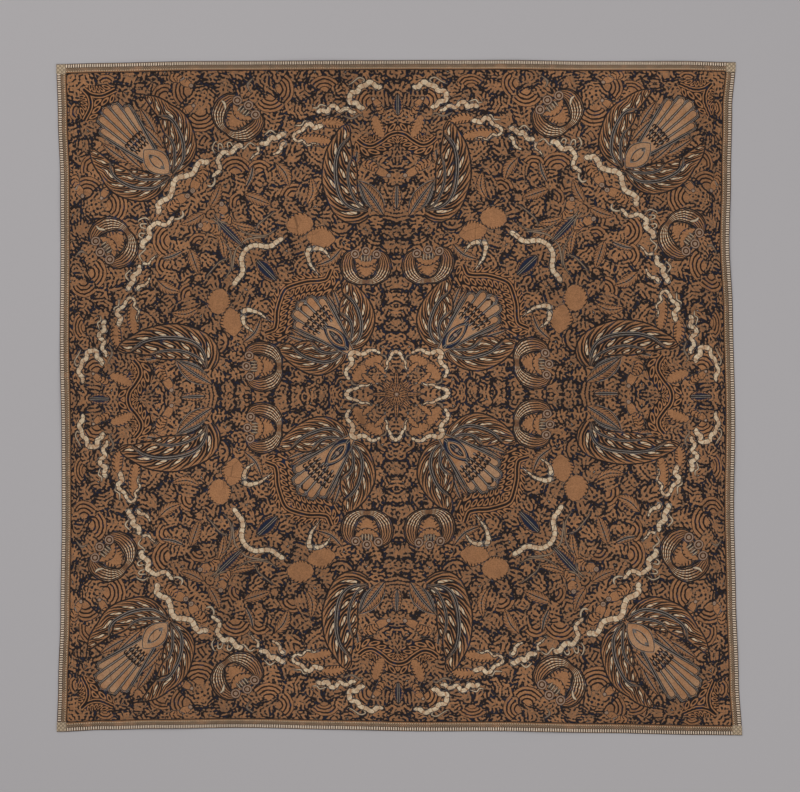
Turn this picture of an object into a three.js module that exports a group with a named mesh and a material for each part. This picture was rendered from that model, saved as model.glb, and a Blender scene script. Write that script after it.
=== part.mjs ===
// A batik head cloth (iket kepala) spread flat: one nearly square sheet of cotton whose four
// edges are turned over and sewn down as narrow hems. Millimetres, +Z up. The origin is on the
// surface that the cloth lies on, under the middle of its outline; +Y is the top of the design.
//
// Every piece is drawn on the flat, square-cut cloth first: s runs from the left edge to the
// right, t from the bottom edge to the top. layFlat() then carries (s, t) to the slightly
// pulled and rippled shape in which the cloth really lies.

import * as THREE from "three";

// The cloth as cut, measured between its finished edges
const clothWidth = 1065;
const clothHeight = 1049;
const sheetThickness = 1;

// The hems: cloth turned over its own edge, open towards the middle
const hemWidth = 15.5;
const foldGap = 0.3;
const tuckDepth = 9;
const seamGap = 0.3;

// The ripples: how far the edge stands up, and how far inwards that reaches
const rippleHeight = 2.4;
const rippleReach = 170;

// How finely the cloth and the folds are faceted
const cellLength = 36;
const outerFoldSteps = 5;
const innerFoldSteps = 2;

// Where the four corners lie, as shares of the width and height in from the outline's box
const cornerPull = {
  bottomLeft: { inX: 0.0007, inY: 0.0052 },
  bottomRight: { inX: 0, inY: 0 },
  topLeft: { inX: 0, inY: 0.0059 },
  topRight: { inX: 0.0095, inY: 0.003 },
};

// How far each edge bows inwards from the straight line between its corners. along is a share
// of the edge, left to right or bottom to top; inwards is a share of the cloth across it.
const edgeBows = {
  bottom: [
    { along: 0, inwards: 0 },
    { along: 0.07, inwards: 0.0033 },
    { along: 0.15, inwards: 0.0056 },
    { along: 0.28, inwards: 0.0074 },
    { along: 0.4, inwards: 0.0055 },
    { along: 0.53, inwards: 0.0036 },
    { along: 0.65, inwards: 0.0044 },
    { along: 0.8, inwards: 0.0024 },
    { along: 0.94, inwards: 0.0004 },
    { along: 1, inwards: 0 },
  ],
  top: [
    { along: 0, inwards: 0 },
    { along: 0.07, inwards: -0.0013 },
    { along: 0.21, inwards: -0.0038 },
    { along: 0.35, inwards: -0.0039 },
    { along: 0.5, inwards: -0.0044 },
    { along: 0.65, inwards: -0.004 },
    { along: 0.8, inwards: -0.0021 },
    { along: 0.92, inwards: -0.0018 },
    { along: 1, inwards: 0 },
  ],
  left: [
    { along: 0, inwards: 0 },
    { along: 0.07, inwards: 0.002 },
    { along: 0.18, inwards: 0.0055 },
    { along: 0.32, inwards: 0.0073 },
    { along: 0.45, inwards: 0.007 },
    { along: 0.58, inwards: 0.0047 },
    { along: 0.72, inwards: 0.0058 },
    { along: 0.82, inwards: 0.0057 },
    { along: 0.92, inwards: 0.0022 },
    { along: 1, inwards: 0 },
  ],
  right: [
    { along: 0, inwards: 0 },
    { along: 0.08, inwards: 0.004 },
    { along: 0.2, inwards: 0.007 },
    { along: 0.34, inwards: 0.0085 },
    { along: 0.48, inwards: 0.0056 },
    { along: 0.63, inwards: 0.0075 },
    { along: 0.73, inwards: 0.0118 },
    { along: 0.83, inwards: 0.0083 },
    { along: 0.93, inwards: 0.0057 },
    { along: 1, inwards: 0 },
  ],
};

// Where each edge stands up off the surface: the middle and half width of each ripple as shares
// of the edge, and its height as a share of rippleHeight
const edgeRipples = {
  bottom: [
    { along: 0.16, halfWidth: 0.09, height: 0.7 },
    { along: 0.44, halfWidth: 0.08, height: 0.45 },
    { along: 0.71, halfWidth: 0.1, height: 0.8 },
  ],
  top: [
    { along: 0.12, halfWidth: 0.08, height: 0.6 },
    { along: 0.38, halfWidth: 0.1, height: 1 },
    { along: 0.67, halfWidth: 0.09, height: 0.6 },
    { along: 0.9, halfWidth: 0.06, height: 0.4 },
  ],
  left: [
    { along: 0.2, halfWidth: 0.08, height: 0.5 },
    { along: 0.5, halfWidth: 0.11, height: 0.8 },
    { along: 0.8, halfWidth: 0.08, height: 0.6 },
  ],
  right: [
    { along: 0.14, halfWidth: 0.07, height: 0.6 },
    { along: 0.4, halfWidth: 0.09, height: 0.7 },
    { along: 0.73, halfWidth: 0.11, height: 1 },
  ],
};

// The field's rim lies inside the hems' folds, and the side hems end at the top and bottom hems
const foldRadius = sheetThickness + foldGap / 2;
const underHemEnd = hemWidth - tuckDepth;
const fieldRim = underHemEnd + seamGap;
const sideHemStart = hemWidth + seamGap;

const smooth = (x) => x * x * (3 - 2 * x);
const mix = (a, b, share) => a + (b - a) * share;

// A smooth curve through a bow table's rows, with flat ends
function bowAt(rows, along) {
  const last = rows.length - 1;
  const after = rows.findIndex((row) => row.along >= along);
  const i = Math.min(Math.max(after, 1), last);
  const share = (along - rows[i - 1].along) / (rows[i].along - rows[i - 1].along);
  return mix(rows[i - 1].inwards, rows[i].inwards, smooth(share));
}

// The height of one edge's ripples, as a share of rippleHeight
function rippleAt(rows, along) {
  return rows.reduce((sum, row) => {
    const away = Math.abs(along - row.along) / row.halfWidth;
    return away < 1 ? sum + row.height * smooth(1 - away) : sum;
  }, 0);
}

// A corner's place on the ground, before the outline is centred
function cornerAt(side, end) {
  const pull = cornerPull[side + end];
  const inX = pull.inX * clothWidth;
  const inY = pull.inY * clothHeight;
  return new THREE.Vector2(
    end === "Left" ? inX : clothWidth - inX,
    side === "bottom" ? inY : clothHeight - inY,
  );
}

const corners = {
  bottomLeft: cornerAt("bottom", "Left"),
  bottomRight: cornerAt("bottom", "Right"),
  topLeft: cornerAt("top", "Left"),
  topRight: cornerAt("top", "Right"),
};

// A point of one finished edge, along a share of it
function edgePoint(edge, along) {
  const upright = edge === "left" || edge === "right";
  const capital = edge === "left" ? "Left" : "Right";
  const from = upright ? corners["bottom" + capital] : corners[edge + "Left"];
  const to = upright ? corners["top" + capital] : corners[edge + "Right"];
  const point = from.clone().lerp(to, along);
  const bow = bowAt(edgeBows[edge], along);
  if (edge === "bottom") point.y += bow * clothHeight;
  if (edge === "top") point.y -= bow * clothHeight;
  if (edge === "left") point.x += bow * clothWidth;
  if (edge === "right") point.x -= bow * clothWidth;
  return point;
}

// The places where every piece has a row of corners, so that their facets meet alike: evenly
// spread between the side hems' ends
function innerStations(length) {
  const steps = Math.round((length - 2 * sideHemStart) / cellLength);
  const span = length - 2 * sideHemStart;
  return Array.from({ length: steps + 1 }, (_, i) => sideHemStart + (span * i) / steps);
}

// The same with the field's rim at both ends
function fieldStations(length) {
  return [fieldRim, ...innerStations(length), length - fieldRim];
}

// The same again out to the cloth's own edges
function edgeStations(length) {
  return [0, ...fieldStations(length), length];
}

// The middle of the outline's box, found at the corners that the hems have along the edges
function outlineMiddle() {
  const box = new THREE.Box2();
  for (const s of edgeStations(clothWidth)) {
    box.expandByPoint(edgePoint("bottom", s / clothWidth));
    box.expandByPoint(edgePoint("top", s / clothWidth));
  }
  for (const t of edgeStations(clothHeight)) {
    box.expandByPoint(edgePoint("left", t / clothHeight));
    box.expandByPoint(edgePoint("right", t / clothHeight));
  }
  return box.getCenter(new THREE.Vector2());
}

const middle = outlineMiddle();

// The ground point under (s, t): a surface stretched between the four edges
function groundPoint(s, t) {
  const u = s / clothWidth;
  const v = t / clothHeight;
  const across = edgePoint("left", v).lerp(edgePoint("right", v), u);
  const up = edgePoint("bottom", u).lerp(edgePoint("top", u), v);
  const low = corners.bottomLeft.clone().lerp(corners.bottomRight, u);
  const high = corners.topLeft.clone().lerp(corners.topRight, u);
  return across.add(up).sub(low.lerp(high, v)).sub(middle);
}

// How far the cloth stands off the ground at (s, t)
function liftAt(s, t) {
  const u = s / clothWidth;
  const v = t / clothHeight;
  const edges = [
    { inwards: t, share: rippleAt(edgeRipples.bottom, u) },
    { inwards: clothHeight - t, share: rippleAt(edgeRipples.top, u) },
    { inwards: s, share: rippleAt(edgeRipples.left, v) },
    { inwards: clothWidth - s, share: rippleAt(edgeRipples.right, v) },
  ];
  const shares = edges.map(({ inwards, share }) =>
    inwards < rippleReach ? share * smooth(1 - inwards / rippleReach) : 0,
  );
  return rippleHeight * Math.max(...shares);
}

function layFlat(s, t, height) {
  const ground = groundPoint(s, t);
  return new THREE.Vector3(ground.x, ground.y, height + liftAt(s, t));
}

// A closed mesh from equal rings, joined in order and capped at both ends
function ringSolid(rings, capTriangles) {
  const size = rings[0].length;
  const positions = rings.flat().flatMap((p) => [p.x, p.y, p.z]);
  const faces = [];
  for (let i = 0; i + 1 < rings.length; i++)
    for (let k = 0; k < size; k++) {
      const a = i * size + k;
      const b = i * size + ((k + 1) % size);
      faces.push(a, b, b + size, a, b + size, a + size);
    }
  const end = (rings.length - 1) * size;
  for (const [a, b, c] of capTriangles) faces.push(c, b, a, a + end, b + end, c + end);
  return closedGeometry(positions, faces);
}

// The hem's section: its distance in from the finished edge, and its height. The cloth runs
// outwards on top, turns round the fold and comes back underneath, and then the same way back
// along its inner face.
function hemSection() {
  const section = [{ inwards: hemWidth, height: 2 * foldRadius }];
  for (let i = 0; i <= outerFoldSteps; i++) section.push(foldPoint(foldRadius, i / outerFoldSteps));
  section.push({ inwards: underHemEnd, height: 0 });
  section.push({ inwards: underHemEnd, height: sheetThickness });
  for (let i = innerFoldSteps; i >= 0; i--) section.push(foldPoint(foldGap / 2, i / innerFoldSteps));
  section.push({ inwards: hemWidth, height: sheetThickness + foldGap });
  return section;
}

// A point of the fold at a radius, from its top at share 0 to its bottom at share 1
function foldPoint(radius, share) {
  return {
    inwards: foldRadius - radius * Math.sin(Math.PI * share),
    height: foldRadius + radius * Math.cos(Math.PI * share),
  };
}

// One hem along an edge, through the stations along it
function hemGeometry(edge, stations) {
  const section = hemSection();
  const outline = section.map((p) => new THREE.Vector2(p.inwards, p.height));
  const cap = THREE.ShapeUtils.triangulateShape(outline, []);
  const rings = stations.map((along) =>
    section.map(({ inwards, height }) => {
      if (edge === "bottom") return layFlat(along, inwards, height);
      if (edge === "top") return layFlat(clothWidth - along, clothHeight - inwards, height);
      if (edge === "left") return layFlat(inwards, clothHeight - along, height);
      return layFlat(clothWidth - inwards, along, height);
    }),
  );
  return ringSolid(rings, cap);
}

// The single sheet inside the hems, whose rim lies tucked in their folds
function fieldGeometry() {
  const s = fieldStations(clothWidth);
  const t = fieldStations(clothHeight);
  const positions = [];
  for (const height of [0, sheetThickness])
    for (const tj of t) for (const si of s) positions.push(...layFlat(si, tj, height).toArray());
  const top = s.length * t.length;
  const columns = s.length - 1;
  const rows = t.length - 1;
  const at = (i, j) => j * s.length + i;
  const faces = [];
  for (let j = 0; j < rows; j++)
    for (let i = 0; i < columns; i++) {
      const [a, b, c, d] = [at(i, j), at(i + 1, j), at(i + 1, j + 1), at(i, j + 1)];
      faces.push(a, c, b, a, d, c);
      faces.push(a + top, b + top, c + top, a + top, c + top, d + top);
    }
  const rimLoop = [
    ...s.slice(0, -1).map((_, i) => at(i, 0)),
    ...t.slice(0, -1).map((_, j) => at(columns, j)),
    ...s.slice(0, -1).map((_, i) => at(columns - i, rows)),
    ...t.slice(0, -1).map((_, j) => at(0, rows - j)),
  ];
  rimLoop.forEach((a, k) => {
    const b = rimLoop[(k + 1) % rimLoop.length];
    faces.push(a, b, b + top, a, b + top, a + top);
  });
  return closedGeometry(positions, faces);
}

function closedGeometry(positions, faces) {
  const geometry = new THREE.BufferGeometry();
  geometry.setAttribute("position", new THREE.Float32BufferAttribute(positions, 3));
  geometry.setIndex(faces);
  geometry.computeVertexNormals();
  return geometry;
}

// Cotton dyed brown and indigo inside, and left a paler tan along the hems
const batikCotton = new THREE.MeshStandardMaterial({ color: 0x644e3e, roughness: 0.92, metalness: 0 });
const hemCotton = new THREE.MeshStandardMaterial({ color: 0xa5825f, roughness: 0.94, metalness: 0 });

function piece(name, geometry, material) {
  const mesh = new THREE.Mesh(geometry, material);
  mesh.name = name;
  return mesh;
}

const headCloth = new THREE.Group();
headCloth.name = "batik_head_cloth";
headCloth.add(piece("cloth_field", fieldGeometry(), batikCotton));

// The side hems were turned first, so they stop where the top and bottom hems begin
headCloth.add(
  piece("hem_bottom", hemGeometry("bottom", edgeStations(clothWidth)), hemCotton),
  piece("hem_top", hemGeometry("top", edgeStations(clothWidth)), hemCotton),
  piece("hem_left", hemGeometry("left", innerStations(clothHeight)), hemCotton),
  piece("hem_right", hemGeometry("right", innerStations(clothHeight)), hemCotton),
);

export default headCloth;
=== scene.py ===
"""A batik head cloth laid flat: its dyed pattern, folded hems and stitches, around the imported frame.

The pattern is drawn once in an eighth of the cloth and turned over eight times, as a batik maker
repeats it. Its places are counted in chart squares from the cloth's middle: x sideways from the
middle line and y out towards an edge, with y at least as large as x.
"""

from __future__ import annotations

import logging
import math
from dataclasses import dataclass, field
from enum import Enum, IntEnum
from typing import Iterable, Protocol, Sequence

import bpy
import numpy as np
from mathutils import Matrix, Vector
from mathutils.geometry import delaunay_2d_cdt

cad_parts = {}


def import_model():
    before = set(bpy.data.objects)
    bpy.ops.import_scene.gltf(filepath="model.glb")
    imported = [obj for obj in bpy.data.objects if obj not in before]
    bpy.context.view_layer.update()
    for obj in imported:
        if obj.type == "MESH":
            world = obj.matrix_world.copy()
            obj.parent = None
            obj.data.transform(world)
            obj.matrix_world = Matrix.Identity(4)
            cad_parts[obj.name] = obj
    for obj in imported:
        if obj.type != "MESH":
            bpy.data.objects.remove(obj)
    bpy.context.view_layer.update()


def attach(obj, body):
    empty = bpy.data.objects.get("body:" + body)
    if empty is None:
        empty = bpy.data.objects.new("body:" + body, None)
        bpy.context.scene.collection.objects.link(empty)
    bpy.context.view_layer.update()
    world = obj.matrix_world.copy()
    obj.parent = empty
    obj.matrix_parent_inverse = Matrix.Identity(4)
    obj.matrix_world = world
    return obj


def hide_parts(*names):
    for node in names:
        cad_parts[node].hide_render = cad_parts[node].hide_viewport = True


log = logging.getLogger("head_cloth")

Point = tuple[float, float]
Colour = tuple[float, float, float, float]
MM = 0.001


# The cloth's shape


class Edge(Enum):
    """The four finished edges of the cloth."""

    BOTTOM = "bottom"
    TOP = "top"
    LEFT = "left"
    RIGHT = "right"

    @property
    def upright(self) -> bool:
        """Whether the edge runs up the cloth."""
        return self in (Edge.LEFT, Edge.RIGHT)


@dataclass(frozen=True)
class Bow:
    """How far an edge bows inwards: shares of the edge, and of the cloth across it."""

    along: tuple[float, ...]
    inwards: tuple[float, ...]

    def at(self, share: np.ndarray) -> np.ndarray:
        """Works out the bow, smooth between the rows and flat at them.

        Args:
            share: places along the edge, from 0 to 1.

        Returns:
            The bow there.
        """
        along = np.array(self.along)
        inwards = np.array(self.inwards)
        row = np.clip(np.searchsorted(along, share), 1, len(along) - 1)
        part = (share - along[row - 1]) / (along[row] - along[row - 1])
        return inwards[row - 1] + (inwards[row] - inwards[row - 1]) * smooth(part)


@dataclass(frozen=True)
class Ripples:
    """Where an edge stands up: middles and half widths as shares of it, heights as shares."""

    along: tuple[float, ...]
    half_width: tuple[float, ...]
    height: tuple[float, ...]

    def at(self, share: np.ndarray) -> np.ndarray:
        """Works out the ripples.

        Args:
            share: places along the edge, from 0 to 1.

        Returns:
            Their height there.
        """
        total = np.zeros_like(share)
        for along, half_width, height in zip(self.along, self.half_width, self.height):
            near = np.clip(1 - np.abs(share - along) / half_width, 0, 1)
            total += height * smooth(near)
        return total


BOWS = {
    Edge.BOTTOM: Bow(
        (0, 0.07, 0.15, 0.28, 0.4, 0.53, 0.65, 0.8, 0.94, 1),
        (0, 0.0033, 0.0056, 0.0074, 0.0055, 0.0036, 0.0044, 0.0024, 0.0004, 0),
    ),
    Edge.TOP: Bow(
        (0, 0.07, 0.21, 0.35, 0.5, 0.65, 0.8, 0.92, 1),
        (0, -0.0013, -0.0038, -0.0039, -0.0044, -0.004, -0.0021, -0.0018, 0),
    ),
    Edge.LEFT: Bow(
        (0, 0.07, 0.18, 0.32, 0.45, 0.58, 0.72, 0.82, 0.92, 1),
        (0, 0.002, 0.0055, 0.0073, 0.007, 0.0047, 0.0058, 0.0057, 0.0022, 0),
    ),
    Edge.RIGHT: Bow(
        (0, 0.08, 0.2, 0.34, 0.48, 0.63, 0.73, 0.83, 0.93, 1),
        (0, 0.004, 0.007, 0.0085, 0.0056, 0.0075, 0.0118, 0.0083, 0.0057, 0),
    ),
}
RIPPLES = {
    Edge.BOTTOM: Ripples((0.16, 0.44, 0.71), (0.09, 0.08, 0.1), (0.7, 0.45, 0.8)),
    Edge.TOP: Ripples((0.12, 0.38, 0.67, 0.9), (0.08, 0.1, 0.09, 0.06), (0.6, 1, 0.6, 0.4)),
    Edge.LEFT: Ripples((0.2, 0.5, 0.8), (0.08, 0.11, 0.08), (0.5, 0.8, 0.6)),
    Edge.RIGHT: Ripples((0.14, 0.4, 0.73), (0.07, 0.09, 0.11), (0.6, 0.7, 1)),
}


def smooth(share: np.ndarray) -> np.ndarray:
    """Returns shares from 0 to 1 eased in and out."""
    return share * share * (3 - 2 * share)


@dataclass(frozen=True)
class ClothForm:
    """The flat cloth's shape, from the same sizes as its frame, in metres.

    s runs from the left edge to the right on the cloth as cut, and t from the bottom to the top.
    """

    width: float = 1.065
    height: float = 1.049
    thickness: float = 1 * MM
    hem_width: float = 15.5 * MM
    fold_gap: float = 0.3 * MM
    tuck_depth: float = 9 * MM
    seam_gap: float = 0.3 * MM
    ripple_height: float = 2.4 * MM
    ripple_reach: float = 170 * MM
    bottom_left_pull: Point = (0.0007, 0.0052)
    bottom_right_pull: Point = (0, 0)
    top_left_pull: Point = (0, 0.0059)
    top_right_pull: Point = (0.0095, 0.003)

    @property
    def under_hem_end(self) -> float:
        """How far in the hem's under layer ends."""
        return self.hem_width - self.tuck_depth

    @property
    def field_rim(self) -> float:
        """How far in the field's rim lies, tucked in the hem's fold."""
        return self.under_hem_end + self.seam_gap

    @property
    def side_hem_start(self) -> float:
        """How far from the bottom and top edges the side hems end."""
        return self.hem_width + self.seam_gap

    def corner(self, vertical: Edge, sideways: Edge) -> np.ndarray:
        """Places a corner on the ground, before the outline is centred.

        Args:
            vertical: the bottom or the top edge.
            sideways: the left or the right edge.

        Returns:
            Its place.
        """
        pulls = {
            (Edge.BOTTOM, Edge.LEFT): self.bottom_left_pull,
            (Edge.BOTTOM, Edge.RIGHT): self.bottom_right_pull,
            (Edge.TOP, Edge.LEFT): self.top_left_pull,
            (Edge.TOP, Edge.RIGHT): self.top_right_pull,
        }
        in_x, in_y = pulls[vertical, sideways]
        x = in_x * self.width if sideways is Edge.LEFT else self.width * (1 - in_x)
        y = in_y * self.height if vertical is Edge.BOTTOM else self.height * (1 - in_y)
        return np.array((x, y))

    def edge_points(self, edge: Edge, share: np.ndarray) -> np.ndarray:
        """Works out where a finished edge runs.

        Args:
            edge: the edge.
            share: places along it, from 0 to 1.

        Returns:
            Its points, one a row.
        """
        if edge.upright:
            start, end = self.corner(Edge.BOTTOM, edge), self.corner(Edge.TOP, edge)
        else:
            start, end = self.corner(edge, Edge.LEFT), self.corner(edge, Edge.RIGHT)
        points = start + (end - start) * share[:, None]
        bow = BOWS[edge].at(share)
        if edge.upright:
            points[:, 0] += bow * self.width * (1 if edge is Edge.LEFT else -1)
        else:
            points[:, 1] += bow * self.height * (1 if edge is Edge.BOTTOM else -1)
        return points

    def middle(self) -> np.ndarray:
        """Returns the middle of the outline's box."""
        shares = np.linspace(0, 1, 400)
        points = np.concatenate([self.edge_points(edge, shares) for edge in Edge])
        return (points.min(axis=0) + points.max(axis=0)) / 2

    def ground(self, s: np.ndarray, t: np.ndarray) -> np.ndarray:
        """Stretches a surface between the edges.

        Args:
            s: distances to the right on the flat cloth.
            t: distances up on it.

        Returns:
            The ground under those places.
        """
        u = s / self.width
        v = t / self.height
        left, right = self.edge_points(Edge.LEFT, v), self.edge_points(Edge.RIGHT, v)
        low, high = self.edge_points(Edge.BOTTOM, u), self.edge_points(Edge.TOP, u)
        across = left + (right - left) * u[:, None]
        up = low + (high - low) * v[:, None]
        corners = [
            self.corner(vertical, sideways)
            for vertical in (Edge.BOTTOM, Edge.TOP)
            for sideways in (Edge.LEFT, Edge.RIGHT)
        ]
        floor = corners[0] + (corners[1] - corners[0]) * u[:, None]
        ceiling = corners[2] + (corners[3] - corners[2]) * u[:, None]
        return across + up - floor - (ceiling - floor) * v[:, None] - self.middle()

    def lift(self, s: np.ndarray, t: np.ndarray) -> np.ndarray:
        """Works out how far the cloth stands off the ground.

        Args:
            s: distances to the right on the flat cloth.
            t: distances up on it.

        Returns:
            The heights at those places.
        """
        u = s / self.width
        v = t / self.height
        heights = [
            RIPPLES[edge].at(share) * smooth(np.clip(1 - inwards / self.ripple_reach, 0, 1))
            for edge, inwards, share in (
                (Edge.BOTTOM, t, u),
                (Edge.TOP, self.height - t, u),
                (Edge.LEFT, s, v),
                (Edge.RIGHT, self.width - s, v),
            )
        ]
        return self.ripple_height * np.max(heights, axis=0)

    def lay(self, s: np.ndarray, t: np.ndarray, height: np.ndarray | float) -> np.ndarray:
        """Returns places of the cloth as it lies, at heights above its underside."""
        z = height + self.lift(s, t)
        return np.column_stack((self.ground(s, t), np.broadcast_to(z, s.shape)))


# Drawing on the chart

CHART_REACH = 335.6
LEAST_AREA = 1e-3
JOINED_WITHIN = 0.004
WELD = 1e-3
GOLDEN_SHARE = 0.618034


class Stroke(IntEnum):
    """What the pattern is drawn with, in the order of the cloth's material slots."""

    LEAF = 0
    GAP = 1
    FEATHER = 2
    RAY = 3
    SERPENT = 4
    TENDRIL = 5
    FAN = 6
    GARLAND = 7
    PLATE = 8
    SLIT_LEAF = 9
    EYE = 10
    CRESCENT = 11


def curve_through(points: Sequence[Point], steps: int) -> np.ndarray:
    """Draws a smooth curve through points.

    Args:
        points: the points, in order.
        steps: how many equal steps the curve is cut into.

    Returns:
        steps + 1 points, one a row.
    """
    knots = np.array(points, dtype=float)
    if len(knots) == 2:
        return knots[0] + (knots[1] - knots[0]) * np.linspace(0, 1, steps + 1)[:, None]
    padded = np.vstack((2 * knots[0] - knots[1], knots, 2 * knots[-1] - knots[-2]))
    part = np.linspace(0, 1, 12, endpoint=False)[:, None]
    pieces = []
    for a, b, c, d in zip(padded, padded[1:], padded[2:], padded[3:]):
        pieces.append(
            b
            + 0.5 * part * (c - a)
            + part**2 * (a - 2.5 * b + 2 * c - 0.5 * d)
            + part**3 * (1.5 * (b - c) + 0.5 * (d - a))
        )
    fine = np.vstack((*pieces, knots[-1]))
    lengths = np.concatenate(((0,), np.cumsum(np.linalg.norm(np.diff(fine, axis=0), axis=1))))
    wanted = np.linspace(0, lengths[-1], steps + 1)
    return np.column_stack([np.interp(wanted, lengths, fine[:, k]) for k in range(2)])


@dataclass
class Chart:
    """The drawn triangles of one eighth of the pattern, the later ones on top.

    place holds for each corner the distance along its stroke, the distance off the stroke's
    middle and the stroke's half width. mark holds the share along the stroke, a number that
    differs from stroke to stroke, and one that is the stroke's own.
    """

    corners: list[np.ndarray] = field(default_factory=list)
    places: list[np.ndarray] = field(default_factory=list)
    marks: list[np.ndarray] = field(default_factory=list)
    strokes: list[np.ndarray] = field(default_factory=list)
    footprints: list[tuple[np.ndarray, np.ndarray]] = field(default_factory=list)

    def add(self, stroke: Stroke, corners: np.ndarray, places: np.ndarray, marks: np.ndarray) -> None:
        """Adds triangles, turned to run anticlockwise, and leaves out those with no area.

        Args:
            stroke: the kind of stroke.
            corners: the triangles' corners.
            places: the place that each corner holds.
            marks: the mark that each corner holds.
        """
        side = corners[:, 1] - corners[:, 0]
        other = corners[:, 2] - corners[:, 0]
        area = side[:, 0] * other[:, 1] - side[:, 1] * other[:, 0]
        for values in (corners, places, marks):
            values[area < 0] = values[area < 0][:, ::-1]
        kept = np.abs(area) > LEAST_AREA
        self.corners.append(corners[kept])
        self.places.append(places[kept])
        self.marks.append(marks[kept])
        self.strokes.append(np.full(int(kept.sum()), int(stroke)))

    def number(self) -> float:
        """Returns a number from 0 to 1 for the next stroke."""
        return (len(self.strokes) * GOLDEN_SHARE) % 1

    def strip(
        self,
        stroke: Stroke,
        path: np.ndarray,
        half_width: np.ndarray,
        own: float = 0,
        number: float | None = None,
    ) -> None:
        """Draws a ribbon along a path.

        Args:
            stroke: what it is drawn with.
            path: points along its middle.
            half_width: its half width at each point.
            own: the stroke's own number.
            number: the stroke's number, if it isn't to be the next one.
        """
        if number is None:
            number = self.number()
        self.footprints.append((path, half_width))
        run = np.gradient(path, axis=0)
        run /= np.linalg.norm(run, axis=1)[:, None]
        side = np.column_stack((-run[:, 1], run[:, 0])) * half_width[:, None]
        steps = np.linalg.norm(np.diff(path, axis=0), axis=1)
        along = np.concatenate(((0,), np.cumsum(steps)))
        left = np.column_stack((path + side, along, half_width, half_width, along / along[-1]))
        right = np.column_stack((path - side, along, -half_width, half_width, along / along[-1]))
        rows = np.concatenate(
            (
                np.stack((left[:-1], right[:-1], right[1:]), axis=1),
                np.stack((left[:-1], right[1:], left[1:]), axis=1),
            )
        )
        shape = rows.shape[:2]
        marks = np.stack(
            (rows[..., 5], np.full(shape, number), np.full(shape, own)), axis=-1
        )
        self.add(stroke, rows[..., :2].copy(), rows[..., 2:5].copy(), marks)

    def sector(self, stroke: Stroke, apex: Point, radius: float, facing: float, spread: float) -> None:
        """Draws a sector or a disc about its apex, with places measured from the apex.

        Args:
            stroke: what it is drawn with.
            apex: its apex.
            radius: its radius.
            facing: the direction of its middle, in degrees.
            spread: half its angle, in degrees; 180 is a whole disc.
        """
        steps = max(6, round(spread / 12))
        turn = np.radians(np.linspace(-spread, spread, steps + 1))
        rim = radius * np.column_stack((np.cos(turn), np.sin(turn)))
        aim = math.radians(facing)
        turned = rim @ np.array(((math.cos(aim), math.sin(aim)), (-math.sin(aim), math.cos(aim))))
        middle = np.zeros((steps, 2))
        local = np.stack((middle, rim[:-1], rim[1:]), axis=1)
        corners = np.stack((middle, turned[:-1], turned[1:]), axis=1) + np.array(apex)
        from_rim = np.broadcast_to(np.array((radius, 0, 0)), (steps, 3))
        places = np.concatenate((local, from_rim[..., None]), axis=2)
        marks = np.broadcast_to(np.array((0, self.number(), radius)), (steps, 3, 3)).copy()
        spokes = np.array(apex) + turned[:, None] * np.array((0.15, 0.5, 0.85))[None, :, None]
        flat = spokes.reshape(-1, 2)
        self.footprints.append((flat, np.full(len(flat), radius * 0.2)))
        self.add(stroke, corners, places, marks)

    def read(
        self, points: np.ndarray, owner: np.ndarray, owners: np.ndarray
    ) -> tuple[np.ndarray, np.ndarray]:
        """Reads what the strokes hold at the corners of faces.

        Args:
            points: the faces' corners, n by 3 by 2.
            owner: the stroke that each face shows.
            owners: the stroke of each drawn triangle.

        Returns:
            The places and the marks.
        """
        corners = np.concatenate(self.corners)
        values = np.concatenate((np.concatenate(self.places), np.concatenate(self.marks)), axis=2)
        read = np.empty(points.shape[:2] + (6,))
        for stroke in np.unique(owner):
            faces = np.flatnonzero(owner == stroke)
            own = np.flatnonzero(owners == stroke)
            spots = points[faces].reshape(-1, 1, 2)
            weights = barycentric(
                np.broadcast_to(spots, (len(spots), len(own), 2)).swapaxes(0, 1), corners[own]
            ).swapaxes(0, 1)
            best = weights.min(axis=2).argmax(axis=1)
            chosen = weights[np.arange(len(spots)), best]
            at = np.einsum("pw,pwk->pk", chosen, values[own[best]])
            read[faces] = at.reshape(len(faces), 3, 6)
        return read[..., :3], read[..., 3:]

    def covers(self, points: np.ndarray, margin: float) -> np.ndarray:
        """Finds which points lie on a drawn stroke.

        Args:
            points: the points.
            margin: how near to a stroke counts as on it.

        Returns:
            A truth value for each point.
        """
        covered = np.zeros(len(points), dtype=bool)
        for path, half_width in self.footprints:
            low = path.min(axis=0) - half_width.max() - margin
            high = path.max(axis=0) + half_width.max() + margin
            near = np.flatnonzero(((points > low) & (points < high)).all(axis=1) & ~covered)
            if len(near):
                away = np.linalg.norm(points[near, None] - path[None], axis=2)
                covered[near] = (away < half_width + margin).any(axis=1)
        return covered


# The motifs


@dataclass(frozen=True)
class Serpent:
    """A cream segmented serpent with a round head and a thinner tail."""

    path: Sequence[Point]
    girth: float = 7.4
    tail: float = 0.55

    def draw(self, chart: Chart) -> None:
        """Draws the serpent.

        Args:
            chart: the chart to draw on.
        """
        steps = 6 * len(self.path)
        share = np.linspace(0, 1, steps + 1)
        ends = np.sqrt(np.clip(share / 0.05, 0.02, 1) * np.clip((1 - share) / 0.05, 0.02, 1))
        half = self.girth / 2 * 0.94 * ends * (1 - (1 - self.tail) * share)
        chart.strip(Stroke.SERPENT, curve_through(self.path, steps), half)


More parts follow.
